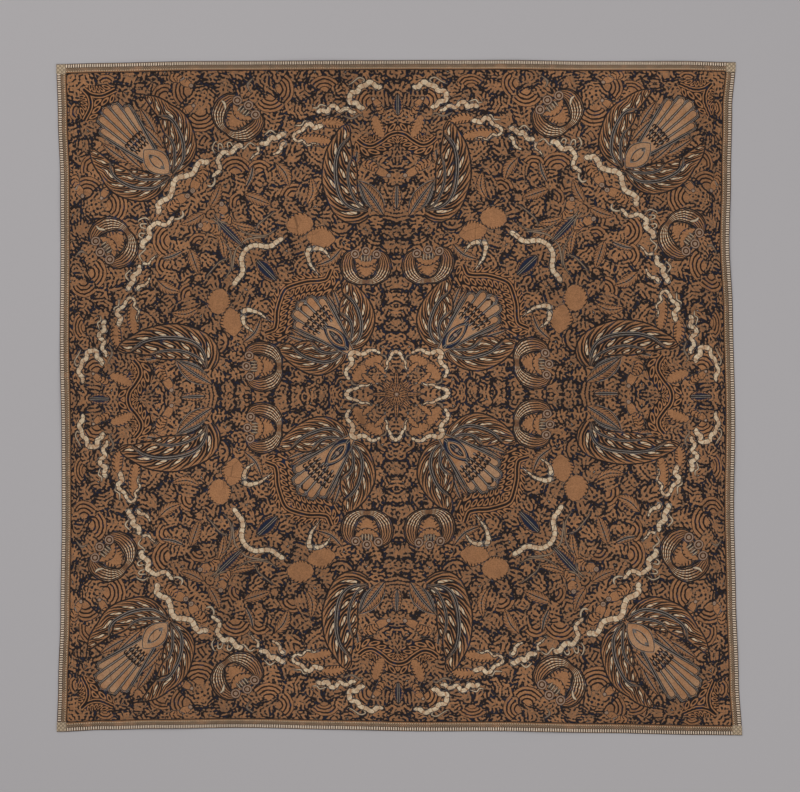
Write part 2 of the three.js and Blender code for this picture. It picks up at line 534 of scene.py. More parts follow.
@dataclass(frozen=True)
class Tendril:
    """A thin line with dark sides. tone runs from 0, slate, to 1, cream."""

    path: Sequence[Point]
    girth: float = 2.8
    tone: float = 0

    def draw(self, chart: Chart) -> None:
        """Draws the tendril.

        Args:
            chart: the chart to draw on.
        """
        steps = 5 * len(self.path)
        share = np.linspace(0, 1, steps + 1)
        half = self.girth / 2 * np.sqrt(np.clip(4 * share * (1 - share), 0.05, 1)) ** 0.6
        chart.strip(Stroke.TENDRIL, curve_through(self.path, steps), half, self.tone)


@dataclass(frozen=True)
class SlitLeaf:
    """A pointed leaf with a fringed rim. core is the share of its width that is indigo."""

    path: Sequence[Point]
    half_width: float = 5
    core: float = 0.2

    def draw(self, chart: Chart) -> None:
        """Draws the leaf.

        Args:
            chart: the chart to draw on.
        """
        share = np.linspace(0, 1, 11)
        half = self.half_width * np.sin(np.pi * share**0.85) ** 0.75
        chart.strip(Stroke.SLIT_LEAF, curve_through(self.path, 10), half, self.core)


@dataclass(frozen=True)
class Plate:
    """A plain brown body, such as a bird's or a star's."""

    path: Sequence[Point]
    half_width: float = 6
    combed: float = 0
    pointed: float = 0.5
    bulge: float = 2

    def draw(self, chart: Chart) -> None:
        """Draws the body. combed is how much of its rim is cut into teeth.

        Args:
            chart: the chart to draw on.
        """
        share = np.linspace(0, 1, 11)
        from_middle = np.abs(2 * share - 1) ** self.bulge
        half = self.half_width * np.clip(1 - from_middle, 0, 1) ** self.pointed
        chart.strip(Stroke.PLATE, curve_through(self.path, 10), half, self.combed)


@dataclass(frozen=True)
class Ogee:
    """A plain pointed plate of tan inside slate and dark lines."""

    path: Sequence[Point]
    half_width: float

    def draw(self, chart: Chart) -> None:
        """Draws the plate.

        Args:
            chart: the chart to draw on.
        """
        share = np.linspace(0, 1, 13)
        half = self.half_width * np.sin(np.pi * share) ** 0.8
        chart.strip(Stroke.RAY, curve_through(self.path, 12), half)


@dataclass(frozen=True)
class Garland:
    """A spine with rows of small leaf scales on both sides.

    path runs along the garland's middle, and spine says how far to the left of it the spine is.
    """

    path: Sequence[Point]
    half_width: float = 8
    spine: float = 0

    def draw(self, chart: Chart) -> None:
        """Draws the garland.

        Args:
            chart: the chart to draw on.
        """
        steps = 6 * len(self.path)
        share = np.linspace(0, 1, steps + 1)
        half = self.half_width * np.clip(4 * share * (1 - share), 0.12, 1) ** 0.35
        chart.strip(Stroke.GARLAND, curve_through(self.path, steps), half, self.spine)


@dataclass(frozen=True)
class StripedFan:
    """A shell of concentric arcs about an apex."""

    apex: Point
    radius: float
    facing: float
    spread: float = 52

    def draw(self, chart: Chart) -> None:
        """Draws the shell."""
        chart.sector(Stroke.FAN, self.apex, self.radius, self.facing, self.spread)


@dataclass(frozen=True)
class Eye:
    """A small ringed disc."""

    centre: Point
    radius: float

    def draw(self, chart: Chart) -> None:
        """Draws the disc."""
        chart.sector(Stroke.EYE, self.centre, self.radius, 0, 180)


@dataclass(frozen=True)
class Bird:
    """A small bird: an eyed head, a body and a combed tail."""

    head: Point
    body: Point
    tail: Point
    size: float = 1

    def draw(self, chart: Chart) -> None:
        """Draws the bird.

        Args:
            chart: the chart to draw on.
        """
        head, body, tail = (np.array(p, dtype=float) for p in (self.head, self.body, self.tail))
        away = tail - body
        across = np.array((-away[1], away[0])) / np.linalg.norm(away)
        bend = (body + tail) / 2 + across * 2.5 * self.size
        Plate((tuple(body), tuple(bend), tuple(tail)), 5.6 * self.size, 1).draw(chart)
        Plate((tuple(body * 1.25 - tail * 0.25), tuple(body), tuple(head)), 4.8 * self.size).draw(chart)
        Eye(self.head, 2.6 * self.size).draw(chart)


@dataclass(frozen=True)
class FeatherLayer:
    """A layer of feathers, which leave its inner side slantwise and sweep out to its rim.

    side and rim both run from the layer's root to its tip.
    """

    side: Sequence[Point]
    rim: Sequence[Point]
    pitch: float = 15
    slant: float = 1.5

    def draw(self, chart: Chart) -> None:
        """Draws the layer and the dark line round it.

        Args:
            chart: the chart to draw on.
        """
        steps = 22
        side = curve_through(self.side, steps)
        rim = curve_through(self.rim, steps)
        middle = (rim + side) / 2
        half = np.linalg.norm(rim - side, axis=1) / 2
        run = np.gradient(middle, axis=0)
        turn = run[:, 0] * (rim - side)[:, 1] - run[:, 1] * (rim - side)[:, 0]
        hand = 1 if turn.sum() > 0 else -1
        chart.strip(Stroke.GAP, middle, half + 1.3)
        chart.strip(Stroke.FEATHER, middle, half, hand * self.pitch, self.slant / 10)


@dataclass(frozen=True)
class RayFan:
    """The body of a lar: five round-tipped rays from a root, with rows of arches at their feet."""

    root: Point
    axis: float = 45
    step: float = 9
    foot: float = 30
    tip: float = 79
    fall: float = 0.034
    arches: tuple[float, ...] = (24, 30, 36)

    def draw(self, chart: Chart) -> None:
        """Draws the fan.

        Args:
            chart: the chart to draw on.
        """
        reach = 2.6 * self.step
        rays = (-2, 2, -1, 1, 0)
        for ray in rays:
            path, half = self._ray(ray, 2.3)
            chart.strip(Stroke.GAP, path, half)
        for wider in (1.3, 0):
            if not wider:
                radius = np.linspace(0.15, 0.8, 9) * self.tip
                wedge = np.array([self._at(r, 0) for r in radius])
                chart.strip(Stroke.RAY, wedge, radius * math.tan(math.radians(reach)))
            for ray in rays:
                path, half = self._ray(ray, wider)
                length = float(np.linalg.norm(path[-1] - path[0]))
                chart.strip(Stroke.RAY, path, half, float(half.max()), length / 100)
        for side in (-1, 1):
            radii = (self.foot * 0.5, self.tip * 0.5, self.tip * 0.84)
            Tendril([self._at(radius, side * reach) for radius in radii], 3.8).draw(chart)
        for row, radius in enumerate(self.arches):
            width = radius * math.radians(reach)
            count = round(2 * width / 4.6)
            for arch in range(count):
                away = (arch + 0.5 - count / 2) * 2 * reach / (count + 1.5)
                self._arch(chart, radius, away)

    def _at(self, radius: float, away: float) -> Point:
        """Returns the place at a radius and at an angle away from the axis, in degrees."""
        turn = math.radians(self.axis + away)
        return self.root[0] + radius * math.cos(turn), self.root[1] + radius * math.sin(turn)

    def _ray(self, ray: int, wider: float) -> tuple[np.ndarray, np.ndarray]:
        """Shapes a ray.

        Args:
            ray: its number, from the axis.
            wider: how much wider it is than the plain one, all round.

        Returns:
            Its path and its half widths.
        """
        away = ray * self.step
        end = self.tip - self.fall * away * away + wider
        share = np.linspace(0, 1, 17) ** 0.7
        radius = self.foot + (end - self.foot) * share
        path = np.array([self._at(r, away) for r in radius])
        half = radius * math.tan(math.radians(self.step / 2)) * 0.99 + wider
        widest = half[-1]
        return path, half * np.sqrt(np.clip(1 - (1 - (end - radius) / widest).clip(0, 1) ** 2, 0, 1))

    def _arch(self, chart: Chart, radius: float, away: float) -> None:
        """Draws one arch, open towards the root.

        Args:
            chart: the chart to draw on.
            radius: how far from the root it stands.
            away: its angle from the axis, in degrees.
        """
        half = math.degrees(1.35 / radius)
        legs = ((0, -half), (2.6, -half), (4.1, 0), (2.6, half), (0, half))
        points = [self._at(radius + rise, away + turn) for rise, turn in legs]
        chart.strip(Stroke.GAP, curve_through(points, 7), np.array((0.5, *[0.75] * 6, 0.5)))


@dataclass(frozen=True)
class WingedFlower:
    """A small flower between two curled wings, open at one side."""

    centre: Point
    facing: float
    size: float = 1

    def _place(self, points: Iterable[Point], side: float = 1) -> list[Point]:
        """Places points of the flower, drawn facing up about (0, 0).

        Args:
            points: the points.
            side: -1 to turn them over.

        Returns:
            The points on the chart.
        """
        turn = math.radians(self.facing - 90)
        cos, sin = math.cos(turn) * self.size, math.sin(turn) * self.size
        placed = []
        for x, y in points:
            across = x * side
            placed.append(
                (self.centre[0] + across * cos - y * sin, self.centre[1] + across * sin + y * cos)
            )
        return placed

    def draw(self, chart: Chart) -> None:
        """Draws the wings, the body, its stamens and the curls above it.

        Args:
            chart: the chart to draw on.
        """
        for side in (-1, 1):
            path = ((-1, -19), (8, -18), (16, -11), (19, -1), (17, 8), (10, 13))
            steps = 20
            half = np.interp(np.linspace(0, 5, steps + 1), range(6), (2, 4, 6.5, 6.5, 5, 1.2))
            wing = curve_through(self._place(path, side), steps)
            chart.strip(Stroke.GAP, wing, (half + 1.2) * self.size)
            chart.strip(Stroke.CRESCENT, wing, half * self.size)
        Plate(self._place(((0, -14), (0, -4), (0, 7))), 11 * self.size, 0.5, 0.9).draw(chart)
        Plate(self._place(((-12, 5), (0, 0), (12, 5))), 4.2 * self.size, 0.6).draw(chart)
        for stamen in (-4.5, -1.5, 1.5, 4.5):
            Tendril(self._place(((stamen, 2), (stamen, 9))), 2.2 * self.size, 0.4).draw(chart)
        for x, y in ((-11, 10), (0, 13), (11, 10)):
            Eye(self._place(((x, y),))[0], 4.9 * self.size).draw(chart)


# Where the motifs lie


class Motif(Protocol):
    """Anything that can be drawn on a chart."""

    def draw(self, chart: Chart) -> None:
        """Draws the motif."""


def evened(points: Sequence[Point]) -> list[Point]:
    """Returns places of the cloth's flatter upper eighth as they are in the even chart."""
    return [(x * 0.988, y * 1.012) for x, y in points]


def corner_lar() -> list[Motif]:
    """Returns the great lar on the diagonal, near the corner."""
    quill = [
        (226, 224), (220, 231), (216, 240), (216, 250), (218, 260), (222, 269), (228, 278), (235, 282),
        (243, 283),
    ]
    inner_quill = [(227, 226), (225, 236), (225, 246), (226, 252), (229, 259), (235, 265)]
    outer_rim = [
        (227, 222), (217, 228), (208, 236), (204, 245), (204, 254), (206, 263), (210, 274), (217, 283),
        (227, 290), (238, 298), (248, 302), (258, 303),
    ]
    return [
        SlitLeaf(evened([(243, 262), (250, 275), (262, 292)]), 5, 0.3),
        SlitLeaf(evened([(236, 250), (246, 262), (260, 276)]), 4.5, 0.3),
        FeatherLayer(
            evened([(229, 228), (230, 236), (231, 244), (234, 252), (236, 262)]), evened(inner_quill), 12
        ),
        FeatherLayer(evened([*inner_quill, (240, 274), (243, 283)]), evened(quill), 14),
        FeatherLayer(evened([*quill, (251, 293), (258, 303)]), evened(outer_rim)),
        Tendril(evened(inner_quill), 3.3),
        Tendril(evened(quill), 3.9),
        RayFan((226, 226), step=5.7, foot=43, tip=96, fall=0.09, arches=(39, 45, 51)),
        Ogee([(227, 227), (240, 240), (253, 253)], 11.5),
        Ogee([(232, 232), (240, 240), (248, 248)], 5),
        SlitLeaf([(232, 232), (234, 234), (236, 236)], 1.6, 1),
        SlitLeaf([(244, 244), (246, 246), (248, 248)], 1.6, 1),
    ]


def inner_lar() -> list[Motif]:
    """Returns the lar on the diagonal, near the middle."""
    quill = [(46, 48), (39, 53), (35, 61), (34, 70), (36, 80), (40, 90), (46, 98), (52, 103)]
    inner_quill = [(47, 49), (44, 57), (43, 66), (45, 74), (50, 80), (56, 84)]
    outer_rim = [
        (47, 45), (40, 46), (33, 49), (27, 57), (23, 67), (22, 78), (26, 90), (33, 101), (42, 110),
        (52, 115),
    ]
    return [
        SlitLeaf(evened([(56, 76), (60, 88), (70, 104)]), 5.5, 0.3),
        SlitLeaf(evened([(56, 86), (59, 96), (64, 108)]), 4, 0.4),
        FeatherLayer(evened([(50, 50), (50, 58), (51, 66), (54, 73), (57, 82)]), evened(inner_quill), 11),
        FeatherLayer(evened([*inner_quill, (56, 94), (52, 103)]), evened(quill), 13),
        FeatherLayer(evened([*quill, (56, 109), (54, 115)]), evened(outer_rim), 16),
        Tendril(evened(inner_quill), 3.3),
        Tendril(evened(quill), 3.7),
        RayFan((34, 34), step=6.5, foot=50, tip=89, fall=0.063, arches=(53, 59, 65)),
        SlitLeaf([(45, 45), (58, 58), (72, 72)], 8, 1),
        Ogee([(48, 48), (58, 58), (69, 69)], 6.6),
        SlitLeaf([(51, 51), (58, 58), (66, 66)], 3.6, 1),
        Eye((58.5, 58.5), 2.6),
    ]


def side_wing() -> list[Motif]:
    """Returns the great wing beside the middle line, and what stands between the pair."""
    quill = [
        (30, 186), (43, 188), (52, 193), (58, 202), (61, 214), (62, 228), (61, 238), (58, 248), (53, 255),
        (48, 260),
    ]
    inner_quill = [(29, 187), (36, 190), (42, 197), (47, 208), (49, 219), (48, 231), (45, 241)]
    inner_rim = [(28, 188), (33, 192), (38, 200), (40, 212), (40, 226), (43, 240)]
    outer_rim = [
        (26, 183), (34, 176), (45, 174), (57, 180), (66, 194), (72, 209), (73, 224), (71, 240), (65, 254),
        (57, 268), (50, 272),
    ]
    leaf = evened([(12, 182), (23, 198), (38, 216)])
    return [
        Ogee(leaf, 9),
        SlitLeaf(leaf, 7.2, 0.35),
        SlitLeaf(evened([(0, 188), (0, 200), (0, 214)]), 5, 0.5),
        SlitLeaf(evened([(42, 228), (40, 244), (36, 258)]), 5, 0.3),
        FeatherLayer(evened(inner_rim), evened(inner_quill), 14, 1.2),
        FeatherLayer(evened([*inner_quill, (46, 252), (48, 260)]), evened(quill), 17, 1.2),
        FeatherLayer(evened([*quill, (47, 266), (50, 272)]), evened(outer_rim), 19, 1.4),
        Tendril(evened(inner_quill), 3.3),
        Tendril(evened(quill), 3.9),
        Garland(evened([(-6, 263), (0, 264), (8, 262), (16, 256), (25, 251), (33, 252), (40, 257)]), 13),
        Tendril(evened([(22, 187), (29, 194), (34, 204), (39, 217)]), 3.4),
        Bird((8, 224), (19, 229), (35, 235)),
        Plate([(14, 262), (20, 272), (24, 285)], 6.5, 0.5),
        SlitLeaf([(0, 284), (0, 295), (0, 308)], 6, 0.65),
    ]


def serpents() -> list[Motif]:
    """Returns the cream serpents of the outer ring, the inner garlands and the middle."""
    ring = (
        Serpent(
            [
                (15, 310), (21, 309), (24, 312), (28, 314), (32, 311), (38, 309), (41, 304), (47, 303),
                (49, 298), (48, 293), (42, 293), (39, 289), (33, 288),
            ],
            7,
            0.95,
        ),
        Serpent(
            [
                (82, 284), (76, 286), (71, 284), (68, 289), (63, 290), (59, 285), (54, 287), (50, 287),
                (47, 284), (42, 284),
            ],
            6.6,
            0.8,
        ),
        Serpent(
            [
                (74, 271), (80, 270), (84, 269), (88, 273), (92, 272), (96, 267), (101, 265), (105, 262),
                (104, 258), (100, 256), (96, 257), (92, 253), (89, 252), (84, 254), (77, 252),
            ],
            7,
            0.35,
        ),
        Serpent([(112, 263), (117, 263), (123, 259), (128, 260), (132, 254), (140, 254)], 7, 0.9),
        Serpent([(112, 255), (117, 253), (118, 248), (121, 245), (126, 243)], 6, 0.6),
        Serpent([(141, 251), (140, 245), (145, 241), (149, 236)], 4.6, 0.5),
        Serpent(
            [
                (155, 250), (161, 251), (165, 246), (169, 243), (174, 245), (178, 241), (181, 236),
                (179, 231), (179, 226), (184, 222), (187, 219),
            ],
            7.4,
            0.7,
        ),
        Serpent(
            [
                (189, 235), (195, 234), (199, 235), (203, 230), (206, 224), (214, 221), (221, 220),
                (228, 214),
            ],
            7.2,
            1,
        ),
    )
    inner = (
        Serpent(
            [
                (114, 161), (121, 157), (126, 153), (132, 152), (138, 153), (145, 153), (152, 149),
                (160, 142),
            ],
            6.6,
            1,
        ),
        Serpent([(86, 151), (90, 147), (89, 140), (87, 134), (83, 129), (78, 122)], 7.6, 0.25),
        Serpent([(85, 149), (80, 150), (73, 147), (67, 139)], 7, 0.3),
        Serpent([(45, 41), (40, 43), (35, 41), (30, 42), (26, 45), (21, 45), (15, 42)], 6.8, 0.6),
        Serpent([(-4, 43), (0, 44), (4, 42), (6, 37), (9, 33), (9, 28), (12, 23)], 6.2, 0.4),
    )
    return [Serpent(evened(serpent.path), serpent.girth, serpent.tail) for serpent in (*ring, *inner)]


def tendrils() -> list[Motif]:
    """Returns the thin curled lines beside the serpents and the slate lines of the sprays."""
    return [
        Tendril([(85, 292), (80, 292), (77, 295), (70, 293)], 2.1, 0.8),
        Tendril([(90, 279), (93, 279), (96, 275), (103, 275)], 2.1, 0.8),
        Tendril([(36, 315), (33, 320), (38, 322), (45, 317), (50, 314)], 2.4, 0.5),
        Tendril([(141, 254), (147, 257), (153, 251), (156, 254)], 2.4, 0.6),
        Tendril([(163, 252), (166, 257), (169, 256), (168, 250)], 2.1, 0.8),
        Tendril([(173, 249), (175, 255), (178, 255), (178, 248)], 2.1, 0.8),
        Tendril([(181, 245), (184, 251), (182, 257), (179, 258)], 2.1, 0.7),
        Tendril([(121, 266), (127, 270), (133, 265)], 2.4, 0.7),
        Tendril([(182, 222), (182, 217), (185, 213), (190, 214)], 2.8, 0.7),
        Tendril([(34, 282), (38, 285), (46, 281), (55, 284)], 2.6, 0.1),
        Tendril([(160, 174), (152, 168), (141, 165), (129, 166), (119, 172)], 2.2, 0.1),
        Tendril([(141, 167), (138, 176), (129, 184), (121, 190)], 2.2, 0.1),
        Tendril([(156, 156), (150, 161), (140, 163), (128, 164)], 2.4, 0.2),
        Tendril([(172, 152), (168, 141), (165, 134)], 2, 0.1),
        Tendril([(182, 186), (177, 179), (168, 176)], 2, 0.2),
        Tendril([(172, 291), (173, 297), (176, 300)], 3, 0.9),
        Tendril([(147, 308), (150, 316), (144, 323)], 2.6, 0.1),
        Tendril([(15, 41), (11, 40), (9, 36)], 2.4, 0.1),
    ]


def shells() -> list[Motif]:
    """Returns the striped fans."""
    return [
        StripedFan((128, 307), 19, -88),
        StripedFan((122, 312), 19, 180),
        StripedFan((197, 292), 24, -90),
        StripedFan((206, 310), 20, 4),
        StripedFan((161, 225), 19, 92, 66),
        StripedFan((137, 228), 13, 88, 60),
        StripedFan((73, 308), 17, 90, 58),
        StripedFan((26, 297), 18, 14),
        StripedFan((156, 197), 12, 20),
        StripedFan((103, 204), 14, 60),
        StripedFan((65, 168), 12, -20),
        StripedFan((28, 32), 15, -55, 60),
        StripedFan((75, 108), 8.5, 95, 75),
        StripedFan((86, 112), 8.5, 75, 75),
        StripedFan((97, 111), 8.5, 60, 75),
        StripedFan((106, 108), 8.5, 45, 75),
        StripedFan((233, 303), 15, 60),
        StripedFan((291, 318), 11, 90, 60),
    ]


def sprigs() -> list[Motif]:
    """Returns the stars, birds, garlands and slit leaves between the great motifs."""
    return [
        Plate([(110, 173), (97, 176), (83, 176)], 12.5, 0.3, 0.55, 1.6),
        Plate([(91, 165), (76, 162), (61, 160)], 13, 0.35, 0.7, 1.3),
        Plate([(64, 258), (80, 260), (100, 261)], 6.5, 0.6),
        Plate([(31, 31), (21, 35), (13, 39)], 6.4, 0.5),
        Plate([(10, 20), (15, 27), (22, 33)], 3.4, 0.6),
        Star((0, 0), 21),
        Plate([(52, 274), (64, 277), (76, 276)], 6, 0.7),
        Bird((206, 315), (214, 320), (228, 322)),
        Bird((204, 295), (212, 290), (222, 283), 0.9),
        Bird((204, 209), (200, 218), (194, 232), 1.15),
        Bird((175, 196), (173, 188), (163, 176), 1.1),
        Bird((25, 301), (20, 296), (12, 286), 0.8),
        SlitLeaf([(179, 179), (166, 166), (153, 153)], 7, 0.6),
        SlitLeaf([(140, 140), (130, 130), (119, 119)], 7.5, 0.75),
        SlitLeaf([(150, 166), (140, 158), (126, 150)], 4.5, 0.2),
        SlitLeaf([(166, 178), (156, 174), (140, 172)], 4.5, 0.2),
        SlitLeaf([(152, 206), (140, 202), (124, 196)], 6, 0.2),
        SlitLeaf([(121, 238), (112, 228), (107, 214)], 6, 0.2),
        SlitLeaf([(150, 213), (145, 224), (143, 236)], 4, 0.45),
        SlitLeaf([(55, 152), (66, 140), (82, 134)], 5.5, 0.3),
        SlitLeaf([(90, 195), (84, 208), (86, 224)], 5, 0.2),
        SlitLeaf([(187, 192), (180, 204), (176, 216)], 5.5, 0.2),
        Garland([(314, 314), (306, 308), (295, 307), (282, 313)], 12),
        Garland(
            [(117, 99), (108, 108), (100, 111.5), (88, 114.5), (76, 115), (67, 118), (62, 129)], 13, -4
        ),
    ]


def flowers() -> list[Motif]:
    """Returns the two small winged flowers."""
    return [
        WingedFlower((31, 136), 90),
        WingedFlower((158, 285), 128, 1.05),
    ]


@dataclass
class GroundLeaves:
    """The sprigs that fill what the motifs leave free: relaxed cells of the eighth."""

    spacing: float = 15
    raster: float = 2.5
    rounds: int = 12
    seed: int = 5
    most_inwards: float = 7.5
    neighbours: int = 27
    turn: float = 0.9

    def draw(self, chart: Chart, free_of: Chart) -> None:
        """Draws a leaf for each cell.

        Args:
            chart: the chart to draw on.
            free_of: the motifs that the leaves keep clear of.
        """
        seeds = self._spread(free_of)
        for index, seed in enumerate(seeds):
            self._leaf(chart, seed, self._cell(seeds, index))

    def _spread(self, free_of: Chart) -> np.ndarray:
        """Spreads the leaves' middles evenly over the free places.

        Args:
            free_of: the chart of what lies there already.

        Returns:
            The middles.
        """
        steps = np.arange(self.raster / 2, CHART_REACH, self.raster)
        x, y = np.meshgrid(steps, steps)
        points = np.column_stack((x.ravel(), y.ravel()))[(y >= x).ravel()]
        points = points[~free_of.covers(points, 0.5)]
        count = round(len(points) * self.raster**2 / self.spacing**2)
        draws = np.random.default_rng(self.seed)
        seeds = points[draws.choice(len(points), count, replace=False)]
        for _ in range(self.rounds):
            nearest = np.argmin(np.linalg.norm(points[:, None] - seeds[None], axis=2), axis=1)
            for index in range(count):
                own = points[nearest == index]
                if len(own):
                    seeds[index] = own.mean(axis=0)
        return seeds + draws.uniform(-1, 1, seeds.shape)

    def _cell(self, seeds: np.ndarray, index: int) -> list[tuple[Point, bool]]:
        """Shapes one leaf's cell.

        Args:
            seeds: the leaves' middles.
            index: which of them it is.

        Returns:
            Its corners, each with whether the side after it is the leaf's rim.
        """
        cell = [((0, 0), False), ((CHART_REACH, CHART_REACH), True), ((0, CHART_REACH), False)]
        home = seeds[index]
        nearest = np.argsort(np.linalg.norm(seeds - home, axis=1))
        for other in seeds[nearest[1 : self.neighbours + 1]]:
            toward = other - home
            cell = clip(cell, tuple(toward), float(toward @ (home + other) / 2))
        return cell

    def _leaf(self, chart: Chart, home: np.ndarray, cell: list[tuple[Point, bool]]) -> None:
        """Draws one leaf, with places along and across its rib and in from its rim.

        Args:
            chart: the chart to draw on.
            home: the leaf's middle.
            cell: its corners and sides.
        """
        rim = np.array([point for point, _ in cell]) - home
        following = np.roll(rim, -1, axis=0)
        reach = np.abs(rim[:, 0] * following[:, 1] - rim[:, 1] * following[:, 0])
        reach /= np.linalg.norm(following - rim, axis=1) + 1e-9
        inwards = min(float(reach.mean()), self.most_inwards)
        spread = rim.T @ rim
        lean = 0.5 * math.atan2(2 * spread[0, 1], spread[0, 0] - spread[1, 1])
        lean += self.turn * math.sin(7.1 * len(chart.corners))
        along = np.array((math.cos(lean), math.sin(lean)))
        rib = np.column_stack((along, (-along[1], along[0])))
        rows = []
        for point, after, (_, is_rim) in zip(rim, following, cell):
            if is_rim:
                rows.append(((0, 0, inwards), (*point, 0), (*after, 0)))
            else:
                fold = (point + after) / 2
                rows.append(((0, 0, inwards), (*point, 0), (*fold, inwards)))
                rows.append(((0, 0, inwards), (*fold, inwards), (*after, 0)))
        local = np.array(rows)
        corners = local[..., :2] + home
        places = np.concatenate((local[..., :2] @ rib, local[..., 2:]), axis=2)
        marks = np.broadcast_to(np.array((0, chart.number(), 0)), corners.shape[:2] + (3,)).copy()
        chart.add(Stroke.LEAF, corners, places, marks)


@dataclass(frozen=True)
class Star:
    """A flower on the middle: long petals along the axes and short ones between, on dark."""

    centre: Point
    reach: float

    def draw(self, chart: Chart) -> None:
        """Draws the flower.

        Args:
            chart: the chart to draw on.
        """
        chart.sector(Stroke.GAP, self.centre, self.reach * 0.5, 0, 180)
        middle = np.array(self.centre, dtype=float)
        for turn, share in ((67.5, 0.75), (90, 1.3), (45, 1.05), (56, 0.6), (79, 0.6)):
            aim = np.array((math.cos(math.radians(turn)), math.sin(math.radians(turn))))
            path = [tuple(middle + aim * self.reach * share * part) for part in (0.05, 0.55, 1)]
            SlitLeaf(path, 2.6, 0.25).draw(chart)
        Eye(self.centre, 2.4).draw(chart)


def clip(cell: list[tuple[Point, bool]], normal: Point, limit: float) -> list[tuple[Point, bool]]:
    """Cuts a convex cell by a line.

    Args:
        cell: its corners, each with whether the side after it is a rim.
        normal: the line's normal, towards the part cut off.
        limit: the line's distance along the normal, times the normal's length.

    Returns:
        What is left of the cell.
    """
    kept = []
    for (here, is_rim), (there, _) in zip(cell, cell[1:] + cell[:1]):
        past_here = normal[0] * here[0] + normal[1] * here[1] - limit
        past_there = normal[0] * there[0] + normal[1] * there[1] - limit
        if past_here <= 0:
            kept.append((here, is_rim))
        if (past_here <= 0) != (past_there <= 0):
            share = past_here / (past_here - past_there)
            cut = (here[0] + (there[0] - here[0]) * share, here[1] + (there[1] - here[1]) * share)
            kept.append((cut, True if past_here <= 0 else is_rim))
    return kept


@dataclass
class Drawing:
    """The pattern as triangles: points, faces, and the corners' places and marks."""

    points: np.ndarray
    faces: np.ndarray
    places: np.ndarray
    marks: np.ndarray
    strokes: np.ndarray

    @classmethod
    def of(cls, chart: Chart) -> Drawing:
        """Makes an eighth in which each place shows the stroke drawn last.

        Args:
            chart: the drawn eighth.

        Returns:
            The drawing.
        """
        corners = np.concatenate(chart.corners)
        strokes = np.concatenate(chart.strokes)
        owners = np.repeat(np.arange(len(chart.corners)), [len(part) for part in chart.corners])
        spots, faces = np.unique(np.round(corners.reshape(-1, 2), 3), axis=0, return_inverse=True)
        faces = faces.reshape(-1, 3)
        broad = np.isin(strokes, (Stroke.LEAF, Stroke.PLATE, Stroke.GARLAND))
        points, cut, edges = triangulated(spots, drawn_sides(faces, owners, broad))
        top = last_covering(within_eighth(points[cut].mean(axis=1)), corners)
        seen = np.where(top < 0, -1, owners[top])
        cell = np.where(broad[top] & (top >= 0), top, -1)
        points, edges = thinned(points, visible_sides(cut, seen, cell))
        points, cut, edges = triangulated(points, edges)
        top = last_covering(within_eighth(points[cut].mean(axis=1)), corners)
        inside = top >= 0
        cut, top = cut[inside], top[inside]
        places, marks = chart.read(points[cut], owners[top], owners)
        return cls(points, cut, places, marks, strokes[top])

    def unfolded(self) -> Drawing:
        """Returns the eighth turned over to fill the whole cloth."""
        points, faces, places, marks = [], [], [], []
        turns = [(x, y, swap) for swap in (False, True) for x in (1, -1) for y in (1, -1)]
        for number, (x, y, swap) in enumerate(turns):
            source = self.points[:, ::-1] if swap else self.points
            order = [0, 1, 2] if (x * y > 0) != swap else [0, 2, 1]
            points.append(source * (x, y))
            faces.append(self.faces[:, order] + number * len(self.points))
            places.append(self.places[:, order])
            marks.append(self.marks[:, order])
        every = np.round(np.concatenate(points) / WELD).astype(int)
        spots, where = np.unique(every, axis=0, return_inverse=True)
        joined = where.reshape(-1)[np.concatenate(faces)]
        return Drawing(
            spots * WELD,
            joined,
            np.concatenate(places),
            np.concatenate(marks),
            np.tile(self.strokes, len(turns)),
        )


def within_eighth(points: np.ndarray) -> np.ndarray:
    """Returns points, with those outside the eighth put where nothing is drawn."""
    outside = (points[:, 0] < 0) | (points[:, 1] < points[:, 0])
    return np.where(outside[:, None], 3 * CHART_REACH, points)


def triangulated(points: np.ndarray, sides: np.ndarray) -> tuple[np.ndarray, np.ndarray, np.ndarray]:
    """Cuts the plane into triangles along sides that may cross.

    Args:
        points: the sides' ends.
        sides: pairs of places in points.

    Returns:
        The points, the triangles and the sides between them.
    """
    spots = [Vector(point) for point in points]
    result = delaunay_2d_cdt(spots, sides.tolist(), [], 0, JOINED_WITHIN, False)
    made = np.array([tuple(p) for p in result[0]])
    return made, np.array(result[2]), np.array(result[1])


def drawn_sides(faces: np.ndarray, owners: np.ndarray, with_spokes: np.ndarray) -> np.ndarray:
    """Finds the sides that outline each stroke.

    Args:
        faces: the drawn triangles.
        owners: the stroke of each.
        with_spokes: which triangles keep their inner sides too.

    Returns:
        The sides, as pairs of places in the points.
    """
    ends = np.sort(faces[:, [[0, 1], [1, 2], [2, 0]]], axis=2).reshape(-1, 2)
    keys = np.column_stack((np.repeat(owners, 3), ends))
    _, which, count = np.unique(keys, axis=0, return_inverse=True, return_counts=True)
    kept = (count[which.reshape(-1)] == 1) | np.repeat(with_spokes, 3)
    sides = np.unique(ends[kept], axis=0)
    return sides[sides[:, 0] != sides[:, 1]]


